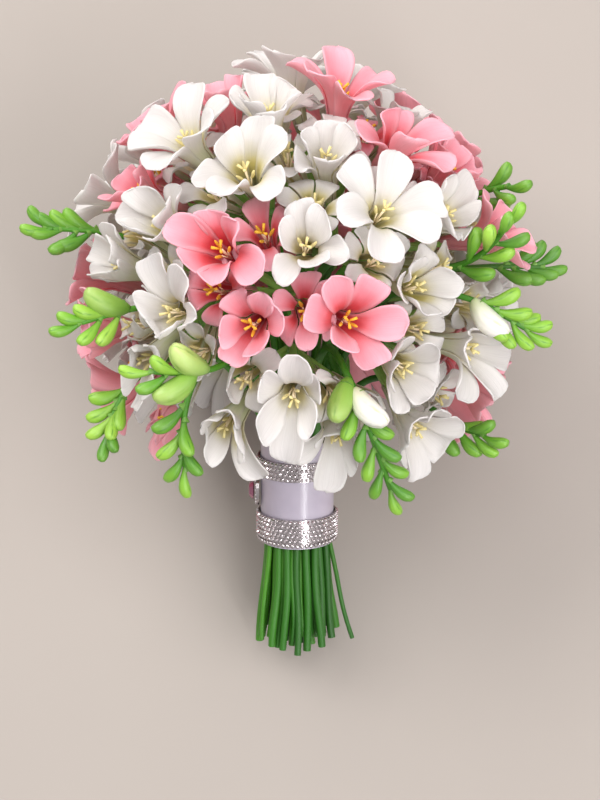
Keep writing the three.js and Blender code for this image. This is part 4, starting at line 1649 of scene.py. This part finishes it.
    def stamens_in(self, floret: Floret, pollen: Finish) -> list[Piece]:
        """Three long anthers on filaments round a style whose three arms fork.

        Args:
            floret: The floret.
            pollen: The finish of its anthers.

        Returns:
            The parts.
        """
        across, over = square_to(floret.axis, vec(*self.upright))
        heart, fork = floret.throat - floret.axis * self.heart_depth, floret.throat + floret.axis * 4.5
        parts = []
        for k in range(6):
            angle = floret.roll + k * math.pi / 3
            way = across * math.cos(angle) + over * math.sin(angle)
            spread = way * 2.6 * (1.0 + 0.25 * varied(floret.index * 6 + k, 8))
            if k % 2 == 0:
                arm = self.stretched("rod", fork, fork + spread + floret.axis * 3.4, (0.45, 0.7))
                parts.append(dressed(arm, pollen))
                continue
            low = floret.throat + way * 1.9 + floret.axis * 0.5
            anther = self.stretched("anther", low - floret.axis, low + spread + floret.axis * 5.2, (0.8, 0.8))
            parts.append(dressed(self.stretched("rod", heart, low, (0.35, 0.35)), FILAMENT))
            parts.append(dressed(anther, pollen))
        style = self.stretched("rod", heart, floret.throat + floret.axis * 4.8, (0.5, 0.5))
        return parts + [dressed(style, FILAMENT)]


BUD_KNOTS = (0.0, 0.05, 0.14, 0.3, 0.48, 0.64, 0.8, 0.92, 0.98, 1.0)
SLIM_BUD = (0.26, 0.32, 0.38, 0.54, 0.8, 0.98, 1.0, 0.76, 0.42, 0.0)
FULL_BUD = (0.3, 0.46, 0.66, 0.88, 1.0, 0.98, 0.86, 0.6, 0.32, 0.0)


@dataclass
class Greenery(Maker):
    """The stems of the bunch and the sprays of buds."""

    step: float = 4.0
    tip_radius: float = 1.35
    seam_depths: tuple[float, float] = (0.05, 0.15)
    sway: float = 1.7
    thin_stems: int = 26
    thin_radius: float = 1.45
    thin_gaps: tuple[float, float] = (2.45, 2.6)
    girths: tuple[float, float] = (0.74, 0.16)
    stray: tuple[Vec3, ...] = ((28.0, -6.5, 5.0), (22.5, -6.0, 22.0), (18.0, -5.0, 42.0), (15.0, -3.5, 58.0))
    stray_radii: tuple[float, float] = (1.1, 1.4)
    arch: float = 0.09
    cup_foot: float = 0.9
    cup_share: tuple[float, float] = (0.17, 0.62)
    hint: Vec3 = (0.3, 0.2, 1)
    sharp: float = 50

    def build(self) -> list[Handed]:
        """Models and dresses the stems and the sprays of buds.

        Returns:
            Each piece, with the nodes that it replaces.
        """
        ball, cylinder = bpy.ops.mesh.primitive_uv_sphere_add, bpy.ops.mesh.primitive_cylinder_add
        self.masters = {
            "bud": made("bud", ball, segments=24, ring_count=16, radius=1),
            "cup": made("cup", cylinder, vertices=8, radius=1, depth=2),
        }
        pieces = []
        for s, spray in enumerate(self.plan.sprays):
            stem = self.stem(f"round_stem_{s + 1:02d}", spray.line, self.plan.stem_radius - 0.25, s)
            pieces.append(hand_over(stem, "green_stems", f"flower_stem_{s + 1:02d}"))
        for k, spray in enumerate(self.plan.bud_sprays):
            parts = [self.stem("stalk", spray.line, self.tip_radius, k + 30)]
            parts += [part for bud in spray.buds for part in (self.bud(bud), self.bud_cup(bud))]
            piece = join_all(parts, f"buds_{spray.name}")
            pieces.append(hand_over(piece, "green_buds", f"bud_spray_{spray.name}"))
        pieces.append(self.thin_bunch())
        self.clear()
        return pieces

    def thin_bunch(self) -> Handed:
        """The thin stems that show between the thick ones below the lower band.

        Returns:
            The piece, which replaces no node.
        """
        spots, reach = [], self.plan.bunch_radius - 1.5
        places = np.array([place[:2] for place in self.plan.places])
        for k in range(400):
            spot = around(FULL_TURN * varied(k, 18))[:2] * (reach * math.sqrt(varied(k, 17)))
            near = np.linalg.norm(places - spot, axis=1).min()
            apart = min((float(np.linalg.norm(spot - other)) for other in spots), default=math.inf)
            if near > self.thin_gaps[0] and apart > self.thin_gaps[1] and len(spots) < self.thin_stems:
                spots.append(spot)
        top = self.plan.wrap[0] + 3
        stray = [vec(*p) for p in self.stray]
        parts = [self.stem("stray_stem", stray, self.stray_radii[0], 59, self.stray_radii[1])]
        for k, spot in enumerate(spots):
            spread = self.plan.stem_end_radius / self.plan.bunch_radius + 0.1 * varied(k, 19)
            cut_end = vec(*(spot * spread), 2 + self.plan.unevenness * varied(k, 20))
            cut_end[1] = min(cut_end[1], self.plan.bunch_radius * 0.75)
            line = [cut_end, vec(*(spot * (1 + spread) / 2), top / 2), vec(*spot, top)]
            parts.append(self.stem("thin_stem", line, self.thin_radius, 60 + k, self.thin_radius))
        return hand_over(join_all(parts, "thin_stems"), "green_stems")

    def stem(self, name: str, line: list[Array], tip: float, index: int, radius: float = 0.0) -> Piece:
        """One round stem along its centre line, with a pale cut end.

        Args:
            name: The stem's name.
            line: Points of its centre line, from the cut end up, in millimetres.
            tip: Its radius at the upper end.
            index: Its number, which varies its sway, girth and tone.
            radius: Its full radius, where it isn't the bunch's usual one.

        Returns:
            The stem.
        """
        path = smooth_line(line, self.step)
        free = np.clip((self.plan.wrap[0] - path[:, 2]) / self.plan.wrap[0], 0, 1)
        for k in (0, 1):
            wave = np.sin(free * (3 + 3 * varied(index, 13 + k)) + 6.3 * varied(index, 15 + k))
            path[:, k] += self.sway * free * (1 - 0.4 * free) * wave
        thick = (radius or self.plan.stem_radius) * (self.girths[0] + self.girths[1] * varied(index, 9))
        radii = thick + (tip - thick) * np.clip((np.linspace(0, 1, len(path)) - 0.45) / 0.55, 0, 1)
        piece = dressed(drawn_tube(name, self.lying.world(path), radii * MM), STEM_SKIN, CUT_STEM)
        give_values(piece, "tone", varied(index, 10))
        smooth(piece, self.sharp)
        for face in piece.data.polygons:
            if len(face.vertices) > 4:
                face.material_index = 1
        return piece

    def bud(self, bud: Bud) -> Piece:
        """One bud: a club of three furled tepals that comes to a blunt tip.

        Args:
            bud: The bud's plan.

        Returns:
            The bud.
        """
        shape = corners(self.masters["bud"])
        share, turn = (shape[:, 2] + 1) / 2, np.arctan2(shape[:, 1], shape[:, 0])
        girth = eased(BUD_KNOTS, FULL_BUD if bud.big else SLIM_BUD, share) * bud.radius
        girth[share < 1e-6] = 0
        twist = 3 * (turn + 0.9 * share + bud.tone * 6.3)
        # The seams between the furled tepals are grooves, and the material darkens them as painted shade.
        seam = np.exp(-((np.sin(twist / 2)) ** 2) / 0.04) * np.clip(share * 2 - 0.3, 0, 1)
        girth = girth * (1 - self.seam_depths[bud.big] * seam)
        side, over = square_to(bud.axis, vec(*self.hint))
        arch = bud.length * self.arch * np.sin(math.pi * share)
        points = bud.foot + np.outer(share * bud.length, bud.axis)
        points = points + np.outer(girth * np.cos(turn) - arch, side) + np.outer(girth * np.sin(turn), over)
        piece = copy_of(self.masters["bud"], self.lying.slid_inside(self.lying.world(points)), bud.tone)
        give_values(piece, "seam", seam)
        smooth(piece)
        return dressed(piece, PALE_BUD_SKIN if bud.pale else BIG_BUD_SKIN if bud.big else BUD_SKIN)

    def bud_cup(self, bud: Bud) -> Piece:
        """The small green cup that holds a bud on its stem.

        Args:
            bud: The bud's plan.

        Returns:
            The cup.
        """
        top = bud.foot + bud.axis * (bud.length * self.cup_share[0])
        radii = (self.cup_foot, bud.radius * self.cup_share[1])
        piece = self.stretched("cup", bud.foot, top, radii, 0.4, vec(*self.hint))
        smooth(piece, self.sharp)
        return dressed(piece, CALYX_SKIN)


@dataclass(frozen=True)
class Mount:
    """One part of what is set on a backing: how far out it stands and its half sizes."""

    master: str
    finish: Finish
    out: float
    breadth: float
    depth: float


@dataclass
class Handle(Maker):
    """The satin sleeve, the two rhinestone bands and the brooch on the tied stems."""

    ribbon: float = 0.45
    ribbon_radius: float = 17.25
    ribbon_turns: float = 1.12
    ribbon_edge: float = 0.15
    lap_rise: tuple[float, float] = (0.31, 0.3)
    crease: float = 0.11
    bands: tuple[tuple[str, float, float, int], ...] = (
        ("rhinestone_band_upper", 88, 97, 4),
        ("rhinestone_band_lower", 55, 69, 6),
    )
    band_inner: float = 18.3
    band_backing: float = 0.6
    bead_drop: float = 1.2
    stones_round: int = 52
    stone_share: float = 0.46
    bead_mounts: tuple[Mount, ...] = (Mount("bead", SILVER, 0.5, 1.0, 0.6),)
    stone_mounts: tuple[Mount, ...] = (
        Mount("cup", SILVER, 0.1, 1.06, 0.2), Mount("stone", CRYSTAL, 0.66, 0.96, 0.44),
    )
    brooch_height: float = 79
    brooch_seat: float = 18.3
    brooch_size: tuple[float, float] = (13, 16)
    halo_stones: int = 18
    halo_inset: float = 1.35
    halo_mounts: tuple[Mount, ...] = (Mount("cup", SILVER, 1.55, 1.05, 0.2), Mount("stone", CRYSTAL, 1.85, 0.95, 0.3))
    gem_inset: float = 2.6
    gem_depth: float = 1.4

    def build(self) -> list[Handed]:
        """Models and dresses everything on the handle.

        Returns:
            Each piece, with the nodes that it replaces.
        """
        cone, cylinder = bpy.ops.mesh.primitive_cone_add, bpy.ops.mesh.primitive_cylinder_add
        ball = bpy.ops.mesh.primitive_uv_sphere_add
        self.masters = {
            "stone": made("stone", cone, vertices=8, radius1=1, radius2=0.52, depth=2),
            "cup": made("stone_cup", cylinder, vertices=8, radius=1, depth=2),
            "bead": made("bead", ball, segments=8, ring_count=6, radius=1),
            "plate": made("plate", cylinder, vertices=40, radius=1, depth=2),
            "gem": made("gem", cone, vertices=12, radius1=1, radius2=0.55, depth=2),
        }
        apply_modifier(self.masters["stone"], "BEVEL", width=0.22, segments=1, limit_method="ANGLE")
        apply_modifier(self.masters["gem"], "BEVEL", width=0.3, segments=1, limit_method="ANGLE")
        pieces = [self.wrap(), *(self.band(*band) for band in self.bands), *self.brooch()]
        self.clear()
        return pieces

    def set_on(self, mounts: Iterable[Mount], place: Array, out: Array, axes: Axes, size: float) -> list[Piece]:
        """The parts of one setting on a backing.

        Args:
            mounts: What the setting is made of.
            place: The place on the backing.
            out: The direction out of the backing.
            axes: Where the axes of each part point.
            size: What the half breadths are multiplied by, in millimetres.

        Returns:
            The parts.
        """
        parts = []
        for mount in mounts:
            sizes = (mount.breadth * size, mount.breadth * size, mount.depth)
            part = self.placed(mount.master, place + out * mount.out, axes, sizes)
            parts.append(dressed(part, mount.finish))
        return parts

    def wrap(self) -> Handed:
        """The satin ribbon wound once round the stems and lapped over its own start.

        Returns:
            The piece and the node that it replaces.
        """
        low, high = self.plan.wrap
        grid = bpy.ops.mesh.primitive_grid_add
        piece = made("satin_ribbon", grid, x_subdivisions=120, y_subdivisions=30, size=2)
        flat = corners(piece)
        share, level = (flat[:, 0] + 1) / 2, (flat[:, 1] + 1) / 2
        # The lap lies at the back, towards the surface that the bouquet rests on.
        turn = math.pi / 2 + FULL_TURN * self.ribbon_turns * (share - 0.5) + math.pi
        height = low + self.ribbon_edge + (high - low - 2 * self.ribbon_edge) * level
        crease = np.sin(turn * 3 + height * 0.21) * np.sin(height * 0.33 + 1.1 * np.sin(turn * 2))
        radius = self.ribbon_radius + self.lap_rise[0] * np.clip((share - 0.12) * 4, 0, 1) + self.crease * crease
        radius = radius + self.lap_rise[1] * np.clip((share - 0.86) * 12, 0, 1)
        points = np.stack((radius * np.cos(turn), radius * np.sin(turn), height), axis=1)
        piece.data.vertices.foreach_set("co", self.lying.world(points).ravel())
        give_uv(piece, share * 2.4, level)
        apply_modifier(piece, "SOLIDIFY", thickness=self.ribbon * MM, offset=0.0, use_even_offset=False)
        turn_outward(piece)
        smooth(dressed(piece, SATIN), 40)
        handed = hand_over(piece, "satin", "satin_wrap")
        return handed

    def band(self, name: str, low: float, high: float, rows: int) -> Handed:
        """A ribbon of rhinestones: rows of faceted stones in cups on a silver backing.

        Args:
            name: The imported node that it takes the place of.
            low: The height of its lower edge.
            high: The height of its upper edge.
            rows: How many rows of stones it has; the lower band's lowest row is of beads.

        Returns:
            The piece and the node that it replaces.
        """
        beaded = name.endswith("lower")
        hoop = {"vertices": 2 * self.stones_round, "radius": 1, "depth": 2, "end_fill_type": "NOTHING"}
        backing = made("backing", bpy.ops.mesh.primitive_cylinder_add, **hoop)
        radius = self.band_inner + self.band_backing / 2
        foot = low + (self.bead_drop if beaded else 0)
        points = vec(0, 0, (foot + high) / 2) + corners(backing) * np.array((radius, radius, (high - foot) / 2))
        backing.data.vertices.foreach_set("co", self.lying.world(points).ravel())
        give_values(backing, "tone", 0.5)
        apply_modifier(backing, "SOLIDIFY", thickness=self.band_backing * MM, offset=0.0)
        turn_outward(backing)
        parts = [dressed(backing, SILVER)]
        pitch, up = (high - low) / rows, vec(0, 0, 1)
        for row in range(rows):
            mounts = self.bead_mounts if row == 0 and beaded else self.stone_mounts
            for k in range(self.stones_round):
                angle = FULL_TURN * (k + 0.5 * (row % 2)) / self.stones_round
                out, side = around(angle), np.cross(up, around(angle))
                tilt = 0.07 * (varied(row * self.stones_round + k, 3) - 0.5)
                axes = (unit(side + out * tilt), up, unit(out - side * tilt))
                skin = out * (self.band_inner + self.band_backing) + up * (low + pitch * (row + 0.5))
                parts += self.set_on(mounts, skin, out, axes, pitch * self.stone_share)
        return hand_over(join_all(parts, f"stones_of_{name}"), "rhinestones", name)

    def brooch(self) -> list[Handed]:
        """The oval brooch on the left of the handle: a halo of crystals round a rose stone.

        Returns:
            The halo and the stone, with the nodes that they replace.
        """
        width, length = self.brooch_size
        axes = (vec(0, 0, 1), vec(0, 1, 0), vec(-1, 0, 0))
        up, side, out = axes
        seat = out * self.brooch_seat + up * self.brooch_height
        plate = self.placed("plate", seat + out * 0.75, axes, (length / 2 - 0.3, width / 2 - 0.3, 0.7))
        parts = [dressed(plate, SILVER)]
        for k in range(self.halo_stones):
            way = around(FULL_TURN * k / self.halo_stones)
            rim = up * (length / 2 - self.halo_inset) * way[0] + side * (width / 2 - self.halo_inset) * way[1]
            parts += self.set_on(self.halo_mounts, seat + rim, out, axes, 1.0)
        halo = hand_over(join_all(parts, "brooch_halo"), "brooch_metal", "brooch_setting")
        sizes = (length / 2 - self.gem_inset, width / 2 - self.gem_inset, self.gem_depth)
        gem = self.placed("gem", seat + out * (2.5 + self.gem_depth), axes, sizes)
        stone = join_all([dressed(gem, ROSE_CRYSTAL)], "brooch_gem")
        turn_outward(stone)
        return [halo, hand_over(stone, "brooch_stone", "brooch_stone")]


@dataclass(frozen=True)
class SoftLight:
    """A square studio light above the table, in metres, or an oblong one where it has a length."""

    name: str
    place: Vec3
    size: float
    power: float
    colour: str = "#ffffff"
    length: float = 0.0

    def hang(self) -> Piece:
        """Adds the light, aimed at the bouquet.

        Returns:
            The lamp.
        """
        bpy.ops.object.light_add(type="AREA", location=self.place)
        lamp = bpy.context.object
        lamp.name = self.name
        lamp.data.size, lamp.data.energy = self.size, self.power
        if self.length:
            lamp.data.shape, lamp.data.size_y = "RECTANGLE", self.length
        lamp.data.color = linear(self.colour)[:3]
        aim = Vector((0, 0, 0.08)) - Vector(self.place)
        lamp.rotation_euler = aim.to_track_quat("-Z", "Y").to_euler()
        return lamp


@dataclass
class Studio:
    """A pale plain table, soft lights, and the camera at the photograph's angle."""

    plan: BouquetPlan
    lying: Lying
    distance: float = 1.0
    view_height: float = 0.378
    aim: tuple[float, float] = (1.4, -54.3)
    air: str = "#dcd8d6"
    air_strength: float = 0.68
    lights: tuple[SoftLight, ...] = (
        SoftLight("window light", (-0.75, 0.55, 1.15), 0.8, 13.4, "#fffdfa"),
        SoftLight("fill light", (0.85, -0.25, 1.0), 0.9, 8.0, "#faf7f6"),
        SoftLight("top light", (0.1, 0.1, 1.7), 0.9, 8.8),
        SoftLight("strip light", (0.38, -0.75, 0.85), 0.12, 4.6, "#ffffff", 0.8),
        SoftLight("low light", (-0.35, 1.1, 0.42), 0.7, 6.5, "#fffdfa"),
    )

    def build(self) -> None:
        """Sets the stage."""
        table = made("table_top", bpy.ops.mesh.primitive_plane_add, size=6)
        dressed(table, FLOOR_CARD)
        table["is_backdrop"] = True
        for light in self.lights:
            light.hang()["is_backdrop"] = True
        world = bpy.data.worlds.new("studio air")
        world.use_nodes = True
        sky = world.node_tree.nodes["Background"]
        sky.inputs["Color"].default_value = linear(self.air)
        sky.inputs["Strength"].default_value = self.air_strength
        bpy.context.scene.world = world
        bpy.context.scene.view_settings.view_transform = "Standard"
        self.aim_camera()

    def aim_camera(self) -> None:
        """Puts the camera over the bouquet, its long side along the handle."""
        target = self.plan.ball + self.plan.seen_at(*self.aim, 0)
        place = self.lying.world(target) + self.lying.turn @ self.plan.to_viewer * self.distance
        axes = [Vector(self.lying.turn @ v) for v in (vec(1, 0, 0), self.plan.up_in_view, self.plan.to_viewer)]
        bpy.ops.object.camera_add()
        camera = bpy.context.object
        camera.matrix_world = Matrix.Translation(Vector(place)) @ Matrix(axes).transposed().to_4x4()
        camera.data.lens = camera.data.sensor_width * self.distance / self.view_height
        bpy.context.scene.camera = camera


def main() -> None:
    """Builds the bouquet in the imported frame."""
    logging.basicConfig(level=logging.INFO, format="%(message)s")
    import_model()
    plan = BouquetPlan()
    lying = Lying.on_frame(plan)
    log.info("%d florets in %d sprays", len(plan.florets), len(plan.sprays))
    Studio(plan, lying).build()
    for maker in (Greenery(plan, lying), Handle(plan, lying), FloretSprays(plan, lying)):
        for piece, nodes in maker.build():
            report(piece, nodes)


if __name__ == "__main__":
    main()
